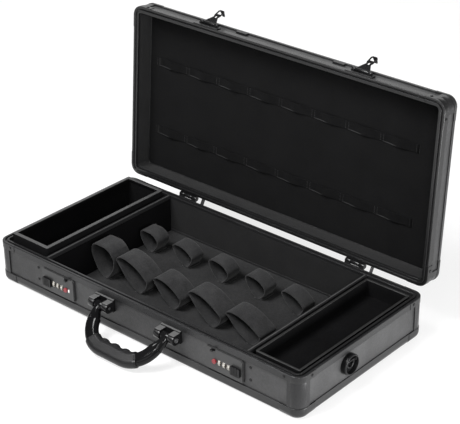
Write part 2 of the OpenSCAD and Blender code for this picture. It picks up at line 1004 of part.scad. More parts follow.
// Room for the latch slide over its whole travel, just behind the plate
module slide_room() {
    deep = slide_y + slide_t + lock_gap;
    right = stem_s + stem_w + slider_travel + lock_gap;
    left = nose_s - lock_gap;
    translate([left, -0.5, rail_low - lock_gap])
        cube([right - left, deep + 0.5, rail_high - rail_low + 2*lock_gap]);
    translate([left, -0.5, rail_low - lock_gap])
        cube([nose_w + slider_travel + 2*lock_gap, deep + 0.5, housing_h]);
    translate([stem_s - lock_gap, -0.5, row_z - stem_h/2 - lock_gap])
        cube([right - stem_s + lock_gap, deep + 0.5, rail_high - row_z + stem_h/2 + lock_gap]);
}

axle_left = -dial_pitch - dial_w/2 - lock_gap - 1.2;
axle_right = dial_pitch + dial_w/2 + lock_gap + 2;

module lock_housing() {
    difference() {
        translate([-housing_half_w, 0, housing_foot])
            cube([2*housing_half_w, housing_depth, housing_h]);
        dial_pockets();
        slide_room();
        translate([axle_left, dial_y, row_z])
            rotate([0, 90, 0])
                cylinder(r = axle_r + fit_gap, h = axle_right - axle_left);
        translate([-button_s, -1, row_z])
            rotate([-90, 0, 0])
                cylinder(r = button_r + button_flange + 0.2,
                    h = 1 + slide_y + slide_t + button_travel + lock_gap);
    }
}

module lock_housings() {
    color(gloss_black)
        for (side = [-1, 1])
            at_lock(side)
                lock_housing();
}

module dial_axles() {
    end_play = 0.1;
    color(steel)
        for (side = [-1, 1])
            at_lock(side)
                translate([axle_left + end_play, dial_y, row_z])
                    rotate([0, 90, 0])
                        cylinder(r = axle_r, h = axle_right - axle_left - 2*end_play);
}

// A number dial with ten finger notches between its ten flats
module dial(side, i) {
    notch_r = 0.9;
    color(gloss_black)
        at_lock(side)
            translate([i*dial_pitch - dial_w/2, dial_y, row_z])
                rotate([0, 90, 0])
                    linear_extrude(dial_w)
                        difference() {
                            circle(dial_r);
                            circle(axle_r + fit_gap);
                            for (k = [0:9])
                                rotate(36*k)
                                    translate([dial_r + 0.45, 0])
                                        circle(notch_r, $fn = 24);
                        }
}

module thumb_slider(side) {
    grooves = 4;
    groove_step = 2.6;
    front = lock_t + lock_gap + slider_proud;
    color(gloss_black)
        at_lock(side)
            difference() {
                union() {
                    translate([slider_s, -lock_t - lock_gap, row_z])
                        rotate([90, 0, 0])
                            linear_extrude(slider_proud)
                                rounded_plan(slider_w, slider_h, 1.5);
                    translate([stem_s, -lock_t - lock_gap, row_z - stem_h/2])
                        cube([stem_w, lock_t + lock_gap + slide_y, stem_h]);
                }
                for (k = [0:grooves - 1])
                    translate([slider_s + (k - (grooves - 1)/2)*groove_step, -front, row_z])
                        cylinder(r = 0.6, h = slider_h + 1, center = true, $fn = 24);
            }
}

// Flat slide behind the plate: stem, rail over the dials, riser and catch nose
module latch_slide(side) {
    back = slide_y + slide_t;
    stem_foot = row_z - stem_h/2;
    nose_reach = lock_t + hasp_gap + hasp_t + nose_out;
    color(steel)
        at_lock(side) {
            translate([stem_s, slide_y, stem_foot])
                cube([stem_w, slide_t, rail_high - stem_foot]);
            translate([nose_s, slide_y, rail_low])
                cube([stem_s + stem_w - nose_s, slide_t, rail_high - rail_low]);
            translate([nose_s, slide_y, rail_low])
                cube([nose_w, slide_t, nose_z + nose_h/2 - rail_low]);
            translate([nose_s, -nose_reach, nose_z - nose_h/2])
                cube([nose_w, nose_reach + back, nose_h]);
        }
}

module release_button(side) {
    color(red)
        at_lock(side)
            translate([-button_s, 0, row_z]) {
                rotate([90, 0, 0])
                    cylinder(r = button_r, h = lock_t + button_proud);
                translate([0, slide_y + slide_t, 0])
                    rotate([90, 0, 0])
                        cylinder(r = button_r + button_flange, h = slide_t + slide_y - lock_gap);
                rotate([-90, 0, 0])
                    cylinder(r = button_r, h = slide_y);
            }
}

// Hasps: base plates on the lid's rim, a pinned tongue with a window and a finger lip
hasp_knuckle = 5;
hasp_play = 0.3;
hasp_end = lock_z + nose_z - nose_h/2 - 5;
hasp_len = hasp_z - hasp_end;

module at_hasps() {
    for (side = [-1, 1])
        translate([side*hasp_x, 0, 0])
            children();
}

module hasp_bases() {
    plate_t = 1.4;
    low = parting + 1;
    clear_r = hasp_barrel_r + hasp_play;
    arm = hasp_root_w/2 + hasp_knuckle;
    color(black)
        opened()
            at_hasps()
                difference() {
                    union() {
                        translate([-hasp_base_w/2, -case_d/2 - plate_t, low])
                            cube([hasp_base_w, plate_t, parting + rim_h - low]);
                        for (s = [-1, 1])
                            translate([s*(arm - hasp_knuckle/2 + hasp_play), hasp_y, hasp_z]) {
                                rotate([0, 90, 0])
                                    cylinder(r = hasp_barrel_r, h = hasp_knuckle, center = true);
                                translate([-hasp_knuckle/2, 0, -hasp_barrel_r - 1.5])
                                    cube([hasp_knuckle, -hasp_y - case_d/2, hasp_barrel_r + 1.5]);
                            }
                    }
                    translate([0, hasp_y, hasp_z])
                        rotate([0, 90, 0])
                            cylinder(r = clear_r, h = hasp_root_w + 2*hasp_play, center = true);
                    translate([0, hasp_y, hasp_z])
                        rotate([0, 90, 0])
                            cylinder(r = hasp_pin_r + fit_gap, h = 2*arm + 4, center = true);
                }
}

module hasp_pins() {
    color(steel)
        opened()
            at_hasps()
                translate([0, hasp_y, hasp_z])
                    rotate([0, 90, 0])
                        cylinder(r = hasp_pin_r, h = hasp_root_w + 2*hasp_knuckle, center = true);
}

// Tongue drawn hanging shut, then swung up by hasp_open
module hasp(side) {
    window_top = hasp_end + 2 + hasp_window_h;
    head_top = window_top + 3;
    neck_w = 8;
    lip_root = hasp_head_w - 4;
    slot_w = 3.6;
    slot_h = 4.6;
    color(gloss_black)
        opened()
            translate([side*hasp_x, hasp_y, hasp_z])
                rotate([-hasp_open, 0, 0])
                    difference() {
                        union() {
                            rotate([0, 90, 0])
                                cylinder(r = hasp_barrel_r, h = hasp_root_w, center = true);
                            translate([0, hasp_t/2, 0])
                                rotate([90, 0, 0])
                                    linear_extrude(hasp_t)
                                        tongue_outline(head_top - hasp_z, neck_w);
                            translate([0, -hasp_t/2, -hasp_len])
                                linear_extrude(hasp_t)
                                    polygon([[-lip_root/2, hasp_t], [lip_root/2, hasp_t],
                                        [lip_root/2, 0], [2, -hasp_lip], [-2, -hasp_lip],
                                        [-lip_root/2, 0]]);
                        }
                        rotate([0, 90, 0])
                            cylinder(r = hasp_pin_r + fit_gap, h = hasp_root_w + 2, center = true);
                        translate([-hasp_window_w/2, -hasp_t, window_top - hasp_window_h - hasp_z])
                            cube([hasp_window_w, 2*hasp_t, hasp_window_h]);
                        translate([-slot_w/2, -hasp_t, head_top - hasp_z + 1])
                            cube([slot_w, 2*hasp_t, slot_h]);
                    }
}

module tongue_outline(head, neck_w) {
    root = hasp_root_w/2;
    half = hasp_head_w/2;
    polygon([
        [-root, 0], [-root, -3], [-neck_w/2, head + 4], [-half, head], [-half, 2 - hasp_len],
        [2 - half, -hasp_len], [half - 2, -hasp_len], [half, 2 - hasp_len], [half, head],
        [neck_w/2, head + 4], [root, -3], [root, 0]]);
}

// Handle: two brackets, two pins, a swept frame and a rubber grip
module handle_brackets() {
    ear_r = 7.4;
    ear_nose = 3;
    ear_step = 1.6;
    out = -pivot_y - panel_y;
    bottom = pivot_z - bracket_h/2;
    color(gloss_black)
        for (side = [-1, 1])
            translate([side*bracket_x, -panel_y, 0])
                difference() {
                    union() {
                        translate([-bracket_w/2, -bracket_plate_t, bottom])
                            cube([bracket_w, bracket_plate_t, bracket_h]);
                        for (x = [-bracket_w/2, bracket_w/2 - ear_t])
                            translate([x, 0, 0]) {
                                translate([0, -out - ear_r + ear_nose, pivot_z])
                                    cube([ear_t, out + ear_r - ear_nose, bracket_h/2 - ear_step]);
                                translate([0, -out, pivot_z])
                                    rotate([0, 90, 0])
                                        cylinder(r = ear_r, h = ear_t);
                                translate([0, -out, pivot_z - ear_r])
                                    cube([ear_t, out, 2*ear_r]);
                            }
                    }
                    translate([0, -out, pivot_z])
                        rotate([0, 90, 0])
                            cylinder(r = handle_pin_r + fit_gap, h = bracket_w + 2, center = true);
                }
}

module handle_pins() {
    head_r = 3.2;
    head_t = 1.2;
    color(steel)
        for (side = [-1, 1])
            translate([side*bracket_x, pivot_y, pivot_z])
                rotate([0, 90, 0]) {
                    cylinder(r = handle_pin_r, h = bracket_w, center = true);
                    translate([0, 0, side*(bracket_w + head_t)/2])
                        cylinder(r = head_r, h = head_t, center = true);
                }
}

// Handle frame: local -Y runs away from the pivot, Z is square to its plane
module in_handle() {
    translate([0, pivot_y, pivot_z])
        rotate([handle_drop, 0, 0])
            children();
}

arm_x = 58.5;
eye_w = bracket_w - 2*ear_t - 1.8;
bend_y = bend_r - handle_reach;
bend_x = arm_x - bend_r;
grip_from = 55;
core_w = 17;
core_t = 8.6;

module oblong(w, t, r) {
    square([w - 2*r, t], center = true);
    square([w, t - 2*r], center = true);
    for (x = [-1, 1], y = [-1, 1])
        translate([x*(w/2 - r), y*(t/2 - r)])
            circle(r, $fn = 48);
}

// One bend of the handle between two angles, 0 at the arm and 90 at the bar
module bend(side, from, to) {
    mirror([side < 0 ? 1 : 0, 0, 0])
        translate([bend_x, bend_y, 0])
            rotate([0, 0, -to])
                rotate_extrude(angle = to - from, $fn = 128)
                    translate([bend_r, 0])
                        children();
}

module bar(half) {
    translate([-half, -handle_reach, 0])
        rotate([90, 0, 90])
            linear_extrude(2*half)
                children();
}

// The arm's foot: a straight tube and one that leans inboard, with a web between them
module handle_neck() {
    tube_r = arm_t/2 - 0.2;
    web_t = arm_t - 0.6;
    from = 9.4;
    reach = 21;
    sink = 3;
    outer_x = arm_x + arm_w/2 - tube_r;
    inner_x = arm_x - arm_w/2 + tube_r;
    splay = atan((bracket_x - inner_x)/(reach - from));
    translate([outer_x, 0, 0])
        rotate([90, 0, 0])
            cylinder(r = tube_r, h = reach + 1.5);
    translate([bracket_x, -from, 0])
        rotate([0, 0, -splay])
            rotate([90, 0, 0])
                cylinder(r = tube_r, h = (reach - from)/cos(splay) + sink);
    translate([0, 0, -web_t/2])
        linear_extrude(web_t)
            polygon([[outer_x, 0], [bracket_x, 0], [bracket_x, -from], [inner_x, -reach],
                [outer_x, -reach]]);
}

module handle_frame() {
    eye_r = arm_t/2;
    arm_from = 12;
    color(gloss_black)
        in_handle()
            difference() {
                union() {
                    for (side = [-1, 1]) {
                        translate([side*bracket_x, 0, 0])
                            rotate([0, 90, 0])
                                cylinder(r = eye_r, h = eye_w, center = true);
                        mirror([side < 0 ? 1 : 0, 0, 0])
                            handle_neck();
                        bend(side, arm_from, grip_from)
                            oblong(arm_w, arm_t, arm_t/2 - 0.1);
                        bend(side, grip_from - 4, 90)
                            oblong(core_w, core_t, 3);
                    }
                    bar(bend_x)
                        oblong(core_w, core_t, 3);
                }
                for (side = [-1, 1])
                    translate([side*bracket_x, 0, 0])
                        rotate([0, 90, 0])
                            cylinder(r = handle_pin_r + fit_gap, h = eye_w + 2, center = true);
            }
}

module handle_grip() {
    grip_r = grip_t/2 - 0.2;
    lip = 0.7;
    bump_r = 12;
    bump_t = 10;
    bump_out = 2.6;
    bump_pitch = 20;
    gap = 0.05;
    color(black)
        in_handle()
            difference() {
                union() {
                    for (side = [-1, 1]) {
                        bend(side, grip_from + 0.5, grip_from + 4)
                            oblong(grip_w - 2*lip, grip_t - 2*lip, grip_r - lip);
                        bend(side, grip_from + 2.5, 90)
                            oblong(grip_w, grip_t, grip_r);
                    }
                    bar(bend_x)
                        oblong(grip_w, grip_t, grip_r);
                    for (i = [-1:1])
                        translate([i*bump_pitch, grip_w/2 + bump_out - bump_r - handle_reach, 0])
                            rotate_extrude($fn = 96) {
                                translate([bump_r - bump_t/2, 0])
                                    circle(bump_t/2);
                                translate([0, -bump_t/2])
                                    square([bump_r - bump_t/2, bump_t]);
                            }
                }
                for (side = [-1, 1])
                    bend(side, grip_from - 5, 90)
                        oblong(core_w + 2*gap, core_t + 2*gap, 3 + gap);
                bar(bend_x)
                    oblong(core_w + 2*gap, core_t + 2*gap, 3 + gap);
            }
}

// Hinges: three knuckles on a pin, a leaf on each rim, and a stop tab beside each
knuckle_gap = 0.3;
mid_knuckle = hinge_w - 18;

module at_hinges() {
    for (side = [-1, 1])
        translate([side*hinge_x, hinge_y, hinge_z])
            children();
}

module barrel(from, to) {
    translate([from, 0, 0])
        rotate([0, 90, 0])
            cylinder(r = hinge_r, h = to - from);
}

// A leaf seen along the pin: flat on the rim flange, joined to the barrel
module leaf_plan(low, high) {
    translate([-hinge_back, low])
        square([leaf_t, high - low]);
}

module leaf_web(high) {
    polygon([[-hinge_back, high], [-hinge_back, high - 2], [leaf_t - hinge_back, high - 2],
        [0, -hinge_r*0.9], [0, 0], [-hinge_r*0.8, 0]]);
}

module hinge_base_leaves() {
    half = mid_knuckle/2 + knuckle_gap;
    top = -hinge_up - 0.4;
    color(gloss_black)
        at_hinges()
            difference() {
                union() {
                    translate([-hinge_w/2, 0, 0])
                        rotate([90, 0, 90])
                            linear_extrude(hinge_w)
                                leaf_plan(-hinge_up - rim_h + 0.5, top);
                    for (s = [-1, 1])
                        mirror([s < 0 ? 1 : 0, 0, 0]) {
                            barrel(half, hinge_w/2);
                            translate([half, 0, 0])
                                rotate([90, 0, 90])
                                    linear_extrude(hinge_w/2 - half)
                                        leaf_web(top);
                        }
                }
                rotate([0, 90, 0])
                    cylinder(r = hinge_pin_r + fit_gap, h = hinge_w + 2, center = true);
                rotate([0, 90, 0])
                    cylinder(r = hinge_r + knuckle_gap, h = 2*half, center = true);
            }
}

module hinge_lid_leaves() {
    half = mid_knuckle/2;
    low = rim_gap - hinge_up + 1.5;
    high = rim_gap - hinge_up + rim_h - 0.5;
    color(gloss_black)
        opened()
            at_hinges()
                difference() {
                    union() {
                        translate([-hinge_w/2, 0, 0])
                            rotate([90, 0, 90])
                                linear_extrude(hinge_w)
                                    leaf_plan(low, high);
                        barrel(-half, half);
                        translate([-half, 0, 0])
                            rotate([90, 0, 90])
                                linear_extrude(2*half)
                                    mirror([0, 1])
                                        leaf_web(-low - 0.5);
                    }
                    rotate([0, 90, 0])
                        cylinder(r = hinge_pin_r + fit_gap, h = hinge_w + 2, center = true);
                    for (s = [-1, 1])
                        translate([s*(half + hinge_w/2), 0, 0])
                            rotate([0, 90, 0])
                                cylinder(r = hinge_r + knuckle_gap, h = hinge_w, center = true);
                }
}

module hinge_pins() {
    color(steel)
        at_hinges()
            rotate([0, 90, 0])
                cylinder(r = hinge_pin_r, h = hinge_w, center = true);
}

// Thin tabs on the back of the base that the open lid rests against
module lid_stops() {
    tab_t = 1.5;
    foot = -hinge_up - rim_h + 0.5;
    rest = hinge_back - 0.5;
    color(black)
        for (side = [-1, 1])
            translate([side*hinge_x + stop_offset, hinge_y, hinge_z])
                rotate([90, 0, 90]) {
                    linear_extrude(tab_t)
                        polygon([[-hinge_back, foot], [-hinge_back, -hinge_up - 0.6],
                            [-0.5, rest - 0.2], [5.5, rest - 0.2], [6, 1], [-hinge_back + 3, foot]]);
                    linear_extrude(6)
                        polygon([[-hinge_back, foot], [-hinge_back, foot + 7],
                            [tab_t - hinge_back, foot + 7], [tab_t - hinge_back, foot]]);
                }
}

// Strap cups on both ends with a ring folded into each
module at_cup(side) {
    rotate([0, 0, side > 0 ? 0 : 180])
        mirror([0, side > 0 ? 0 : 1, 0])
            translate([case_w/2 - skin_t, -cup_y, cup_z])
                children();
}

cup_floor_t = 1.5;
cup_wall_t = 2.2;
bar_up = 5;
ring_drop = 3;
bar_x = cup_floor_t + ring_wire_r + 0.8;
cup_ear_w = 2.5;
ear_from = ring_bow_r + ring_wire_r + 0.5;

module strap_cups() {
    color(gloss_black)
        for (side = [-1, 1])
            at_cup(side)
                difference() {
                    union() {
                        rotate([90, 0, 0])
                            rotate([0, 90, 0])
                                rotate_extrude()
                                    polygon([[0, 0], [cup_r, 0], [cup_r, cup_out - 1.2],
                                        [cup_r - 1.2, cup_out], [cup_r - cup_wall_t, cup_out],
                                        [cup_r - cup_wall_t, cup_floor_t], [0, cup_floor_t]]);
                        for (s = [-1, 1])
                            translate([0, s*(ear_from + cup_ear_w/2) - cup_ear_w/2, bar_up - 2.4])
                                cube([bar_x + 2.2, cup_ear_w, 4.8]);
                    }
                    translate([bar_x, 0, bar_up])
                        rotate([90, 0, 0])
                            cylinder(r = ring_wire_r + fit_gap,
                                h = 2*(ear_from + cup_ear_w) - 0.6, center = true);
                }
}

module strap_ring(side) {
    color(steel)
        at_cup(side)
            translate([bar_x, 0, bar_up]) {
                rotate([90, 0, 0])
                    cylinder(r = ring_wire_r, h = 2*(ear_from + cup_ear_w) - 1, center = true);
                for (s = [-1, 1])
                    translate([0, s*ring_bow_r, -ring_drop])
                        cylinder(r = ring_wire_r, h = ring_drop);
                translate([0, 0, -ring_drop])
                    rotate([0, 90, 0])
                        rotate([0, 0, -90])
                            rotate_extrude(angle = 180, $fn = 64)
                                translate([ring_bow_r, 0])
                                    circle(ring_wire_r, $fn = 32);
            }
}

base_bottom_panel();
base_wall_panels();
base_corner_posts();
base_rim_rails();
base_rim_corners();
base_edge_rails();
base_edge_corners();
base_floor_lining();
base_wall_lining();
dividers();
divider_edgings();
tray_ledges();
base_rivets();
hinge_base_leaves();
hinge_pins();
lid_stops();
lock_plates();
lock_housings();
dial_axles();
handle_brackets();
handle_pins();
strap_cups();
front_loops();
rear_loops();
lid_top_panel();
lid_wall_panels();
lid_corner_posts();
lid_rim_rails();
lid_rim_corners();
lid_edge_rails();
lid_edge_corners();
lid_top_lining();
lid_wall_lining();
lid_elastic_bands();
lid_rivets();
lid_bumpers();
hinge_lid_leaves();
hasp_bases();
hasp_pins();
hasp(-1);  // left_hasp
hasp(1);  // right_hasp
handle_frame();
handle_grip();
dial(-1, -1);  // left_dial_1
dial(-1, 0);  // left_dial_2
dial(-1, 1);  // left_dial_3
dial(1, -1);  // right_dial_1
dial(1, 0);  // right_dial_2
dial(1, 1);  // right_dial_3
thumb_slider(-1);  // left_thumb_slider
thumb_slider(1);  // right_thumb_slider
latch_slide(-1);  // left_latch_slide
latch_slide(1);  // right_latch_slide
release_button(-1);  // left_release_button
release_button(1);  // right_release_button
strap_ring(-1);  // left_strap_ring
strap_ring(1);  // right_strap_ring
left_tray();
right_tray();
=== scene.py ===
import bpy
import bmesh
import json
import math
import random
from mathutils import Matrix, Vector, noise


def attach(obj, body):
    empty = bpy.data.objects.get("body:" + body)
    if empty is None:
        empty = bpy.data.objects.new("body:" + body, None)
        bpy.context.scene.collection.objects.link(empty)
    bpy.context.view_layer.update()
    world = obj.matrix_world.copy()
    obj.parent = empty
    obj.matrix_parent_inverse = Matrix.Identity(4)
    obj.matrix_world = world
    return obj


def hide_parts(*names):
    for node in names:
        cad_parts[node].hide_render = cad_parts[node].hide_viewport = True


# Hairdresser case: looks, soft pieces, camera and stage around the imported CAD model.
# Everything is in metres, X to the right, Y to the back, Z up, with the case standing on Z = 0.

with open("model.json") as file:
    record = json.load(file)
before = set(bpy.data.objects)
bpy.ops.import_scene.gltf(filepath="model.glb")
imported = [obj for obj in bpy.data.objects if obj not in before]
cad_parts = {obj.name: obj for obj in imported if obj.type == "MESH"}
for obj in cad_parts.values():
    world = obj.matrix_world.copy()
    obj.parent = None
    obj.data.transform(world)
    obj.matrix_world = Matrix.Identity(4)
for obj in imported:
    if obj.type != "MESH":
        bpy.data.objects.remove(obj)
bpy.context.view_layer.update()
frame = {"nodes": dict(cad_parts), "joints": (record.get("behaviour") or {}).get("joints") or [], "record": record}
scene = bpy.context.scene
nodes = frame["nodes"]
random.seed(7)


def link(obj):
    """Put an object into the scene, and hand it back."""
    scene.collection.objects.link(obj)
    return obj


def mesh_object(name, verts, faces, smooth=True):
    """A linked object from bare vertices and faces."""
    mesh = bpy.data.meshes.new(name)
    mesh.from_pydata(verts, [], faces)
    mesh.update()
    if smooth:
        for face in mesh.polygons:
            face.use_smooth = True
    return link(bpy.data.objects.new(name, mesh))


# ---------------------------------------------------------------- camera
# Place, turn and lens were fitted to the outline of the case in the photo.
AZIMUTH, ELEVATION, ROLL = map(math.radians, (39.452, 27.6627, 0.2833))
CAMERA_PLACE = (1.2512, -1.3525, 1.1258)
CAMERA_LENS, CAMERA_SENSOR = 118.4028, 36
CAMERA_SHIFT = (-0.1117, -0.0148)


def camera_axes():
    """The camera's right, up and backward directions, as the columns of its rotation."""
    back = Vector((
        math.sin(AZIMUTH) * math.cos(ELEVATION),
        -math.cos(AZIMUTH) * math.cos(ELEVATION),
        math.sin(ELEVATION),
    ))
    level = Vector((math.cos(AZIMUTH), math.sin(AZIMUTH), 0))
    upright = back.cross(level)
    right = level * math.cos(ROLL) + upright * math.sin(ROLL)
    up = upright * math.cos(ROLL) - level * math.sin(ROLL)
    return Matrix((right, up, back)).transposed().to_4x4()


camera_data = bpy.data.cameras.new("camera")
camera_data.sensor_width = CAMERA_SENSOR
camera_data.lens = CAMERA_LENS
camera_data.shift_x, camera_data.shift_y = CAMERA_SHIFT
camera_data.clip_end = 50
camera = link(bpy.data.objects.new("camera", camera_data))
camera.matrix_world = Matrix.Translation(CAMERA_PLACE) @ camera_axes()
scene.camera = camera

# ---------------------------------------------------------------- floor and light
FLOOR_HALF = 6
WORLD_STRENGTH = 0.2
# name: place, target, width, height, power in watts
LIGHTS = {
    "key": ((-0.5, -1.1, 2.15), (0, 0.05, 0), 1.1, 0.9, 75),
    "right_fill": ((1.05, 0.05, 0.12), (0.28, 0.02, 0.04), 0.5, 0.25, 13),
    "window": ((1.6, -1.25, 1.25), (0.05, -0.03, 0.03), 0.45, 0.35, 15),
    "lid_fill": ((0.1, -0.6, 0.95), (-0.02, 0.2, 0.36), 0.5, 0.3, 2.9),
    "front_fill": ((0.2, -2.3, 1.1), (0, 0, 0.05), 1.6, 1.0, 6),
    "backdrop": ((-1.6, 2.3, 1.3), (0, 0.1, 0.3), 3.0, 1.6, 16),
}


def area_light(name, place, target, width, height, power):
    """A rectangular lamp that looks from its place at a target."""
    data = bpy.data.lights.new(name, "AREA")
    data.shape = "RECTANGLE"
    data.size, data.size_y, data.energy = width, height, power
    lamp = link(bpy.data.objects.new(name, data))
    lamp.location = place
    lamp.rotation_euler = (Vector(target) - Vector(place)).to_track_quat("-Z", "Y").to_euler()


floor_corners = [(x * FLOOR_HALF, y * FLOOR_HALF, 0) for x, y in ((-1, -1), (1, -1), (1, 1), (-1, 1))]
floor = mesh_object("floor", floor_corners, [(0, 1, 2, 3)], smooth=False)
world = bpy.data.worlds.new("studio")
scene.world = world
world.use_nodes = True
world.node_tree.nodes["Background"].inputs["Color"].default_value = (1, 1, 1, 1)
world.node_tree.nodes["Background"].inputs["Strength"].default_value = WORLD_STRENGTH
for lamp_name, settings in LIGHTS.items():
    area_light(lamp_name, *settings)
scene.view_settings.view_transform = "Standard"

# ---------------------------------------------------------------- materials
# Height of the finest relief, in metres
POLISH = 0.00004
# Spans that noise mostly falls in: all of one noise, its upper part, and the middle of two added up
SPAN, UPPER_SPAN, MIDDLE = (0.3, 0.7), (0.35, 0.7), (0.36, 0.64)


class Mat:
    """A node material with a few shorthands. Patterns lie in the object's own coordinates."""

    def __init__(self, name, base, rough, metallic=0.0, **sockets):
        self.mat = bpy.data.materials.new(name)
        self.mat.use_nodes = True
        self.tree = self.mat.node_tree
        self.shader = self.tree.nodes["Principled BSDF"]
        self.put(self.shader, "Base Color", base)
        self.put(self.shader, "Roughness", rough)
        self.put(self.shader, "Metallic", metallic)
        for key, value in sockets.items():
            self.put(self.shader, key.replace("_", " "), value)
        self.coords = self.node("ShaderNodeTexCoord").outputs["Object"]
        self.normal = None

    def node(self, kind, **settings):
        """A new node with its settings."""
        made = self.tree.nodes.new(kind)
        for key, value in settings.items():
            setattr(made, key, value)
        return made

    def put(self, node, socket, value):
        """Link an output to a socket, or set the socket to a constant."""
        target = node.inputs[socket]
        if hasattr(value, "is_output"):
            self.tree.links.new(value, target)
        else:
            if target.type == "RGBA" and len(value) == 3:
                value = (*value, 1)
            target.default_value = value

    def colour(self, value):
        self.put(self.shader, "Base Color", value)

    def math(self, operation, a, b=0.0):
        """One step of arithmetic."""
        step = self.node("ShaderNodeMath", operation=operation)
        self.put(step, 0, a)
        self.put(step, 1, b)
        return step.outputs[0]

    def sum(self, a, b, share=0.5):
        """A share of one value and the rest of the other."""
        return self.math("ADD", self.math("MULTIPLY", a, share), self.math("MULTIPLY", b, 1 - share))

    def axes(self, vector):
        """The X, Y and Z of a vector, by name."""
        split = self.node("ShaderNodeSeparateXYZ")
        self.put(split, 0, vector)
        return split.outputs

    def noise(self, scale, detail=3.0, rough=0.55, stretch=None):
        """Noise from 0 to 1. A stretch draws it out into brush marks."""
        vector = self.coords
        if stretch:
            mapping = self.node("ShaderNodeMapping")
            self.put(mapping, "Vector", vector)
            self.put(mapping, "Scale", stretch)
            vector = mapping.outputs[0]
        cloud = self.node("ShaderNodeTexNoise")
        self.put(cloud, "Vector", vector)
        self.put(cloud, "Scale", scale)
        self.put(cloud, "Detail", detail)
        self.put(cloud, "Roughness", rough)
        return cloud.outputs["Fac"]

    def cells(self, scale):
        """Rounded pebbles."""
        pebbles = self.node("ShaderNodeTexVoronoi", feature="SMOOTH_F1")
        self.put(pebbles, "Vector", self.coords)
        self.put(pebbles, "Scale", scale)
        return pebbles.outputs["Distance"]

    def range(self, value, low, high, to_low=0.0, to_high=1.0):
        """A value taken from one range to another, and held at its ends."""
        rescale = self.node("ShaderNodeMapRange")
        self.put(rescale, "Value", value)
        self.put(rescale, "From Min", low)
        self.put(rescale, "From Max", high)
        self.put(rescale, "To Min", to_low)
        self.put(rescale, "To Max", to_high)
        return rescale.outputs[0]

    def over(self, share, under, upper):
        """One colour laid over another by a share."""
        mix = self.node("ShaderNodeMix", data_type="RGBA")
        self.put(mix, 0, share)
        self.put(mix, 6, under)
        self.put(mix, 7, upper)
        return mix.outputs[2]

    def ramp(self, value, low, high, dark, light):
        """From dark to light as a value goes from low to high."""
        return self.over(self.range(value, low, high), dark, light)

    def bump(self, height, distance, strength=1.0):
        """A relief on top of the ones before it."""
        relief = self.node("ShaderNodeBump")
        self.put(relief, "Height", height)
        self.put(relief, "Distance", distance)
        self.put(relief, "Strength", strength)
        if self.normal is not None:
            self.put(relief, "Normal", self.normal)
        self.normal = relief.outputs["Normal"]
        self.put(self.shader, "Normal", self.normal)


def grained(name, dark, light, rough, grain=700, depth=0.00022, **sockets):
    """Grained board or rubber: patches and specks of tone over a pebbled relief."""
    m = Mat(name, dark, rough, **sockets)
    patches, specks = m.noise(11), m.noise(380, detail=4)
    m.colour(m.ramp(m.sum(patches, specks, 0.6), 0.38, 0.64, dark, light))
    m.put(m.shader, "Roughness", m.range(m.noise(40), *SPAN, rough - 0.05, rough + 0.08))
    m.bump(m.cells(grain), depth)
    m.bump(m.noise(260), depth * 0.4, 0.6)
    return m.mat


def satin(name, dark, light, rough, metallic=0.0, brush=None, **sockets):
    """Smooth metal, paint or plastic with a fine finish, brushed where brush gives a stretch."""
    m = Mat(name, dark, rough, metallic, **sockets)
    m.colour(m.ramp(m.noise(14), *UPPER_SPAN, dark, light))
    finish = m.noise(500, detail=2, rough=0.5, stretch=brush) if brush else m.noise(900, detail=2)
    m.put(m.shader, "Roughness", m.range(finish, *SPAN, rough - 0.06, rough + 0.08))
    m.bump(finish, POLISH)
    return m.mat


def striped(name, dark, highlight, inner, outer, rough):
    """A dark profile with a painted highlight: one light line, its brightness varied by noise, between two
    distances from the middle of the case.
    """
    m = Mat(name, dark, rough, Specular_IOR_Level=0.15)
    away = m.math("ABSOLUTE", m.axes(m.coords)["X"])
    # Painted highlight: the light line along the edging
    line = m.math("MULTIPLY", m.math("GREATER_THAN", away, inner), m.math("LESS_THAN", away, outer))
    highlight_unevenness = m.range(m.noise(90, detail=4), *SPAN, 0.75, 1.0)
    m.colour(m.ramp(m.math("MULTIPLY", line, highlight_unevenness), 0.0, 1.0, dark, highlight))
    m.bump(m.noise(900, detail=2), POLISH)
    return m.mat


def topped(name, dark, light, top_highlight, rough, **sockets):
    """Dark cast metal with a painted highlight: its upward faces are painted paler, as if lit from above."""
    m = Mat(name, dark, rough, **sockets)
    upward = m.axes(m.node("ShaderNodeNewGeometry").outputs["Normal"])["Z"]
    body = m.ramp(m.noise(30), *UPPER_SPAN, dark, light)
    # Painted highlight: faces pointing up take the paler top colour in place of the light they catch
    m.colour(m.over(m.range(upward, 0.55, 0.9), body, top_highlight))
    m.bump(m.noise(300), POLISH)
    return m.mat


def wheel(name, dark, light, flank, rough):
    """A number wheel: pale round its middle, dark and brownish towards its two flanks."""
    m = Mat(name, light, rough)
    along = m.axes(m.node("ShaderNodeTexCoord").outputs["Generated"])["X"]
    away = m.math("ABSOLUTE", m.math("SUBTRACT", along, 0.5))
    body = m.ramp(m.noise(60), *UPPER_SPAN, dark, light)
    m.colour(m.over(m.range(away, 0.27, 0.34), body, flank))
    m.bump(m.noise(300), POLISH)
    return m.mat


def cloth(name, dark, light, weave=1500, depth=0.00025, sheen=0.25, gloss=0.15):
    """Brushed lining fabric: a nap of two sizes over a fine weave."""
    m = Mat(name, dark, 0.95, Specular_IOR_Level=gloss, Sheen_Weight=sheen, Sheen_Roughness=0.5)
    m.colour(m.ramp(m.sum(m.noise(24, detail=5), m.noise(330)), *MIDDLE, dark, light))
    m.bump(m.cells(weave), depth)
    m.bump(m.noise(120, detail=5), depth * 1.5, 0.35)
    return m.mat


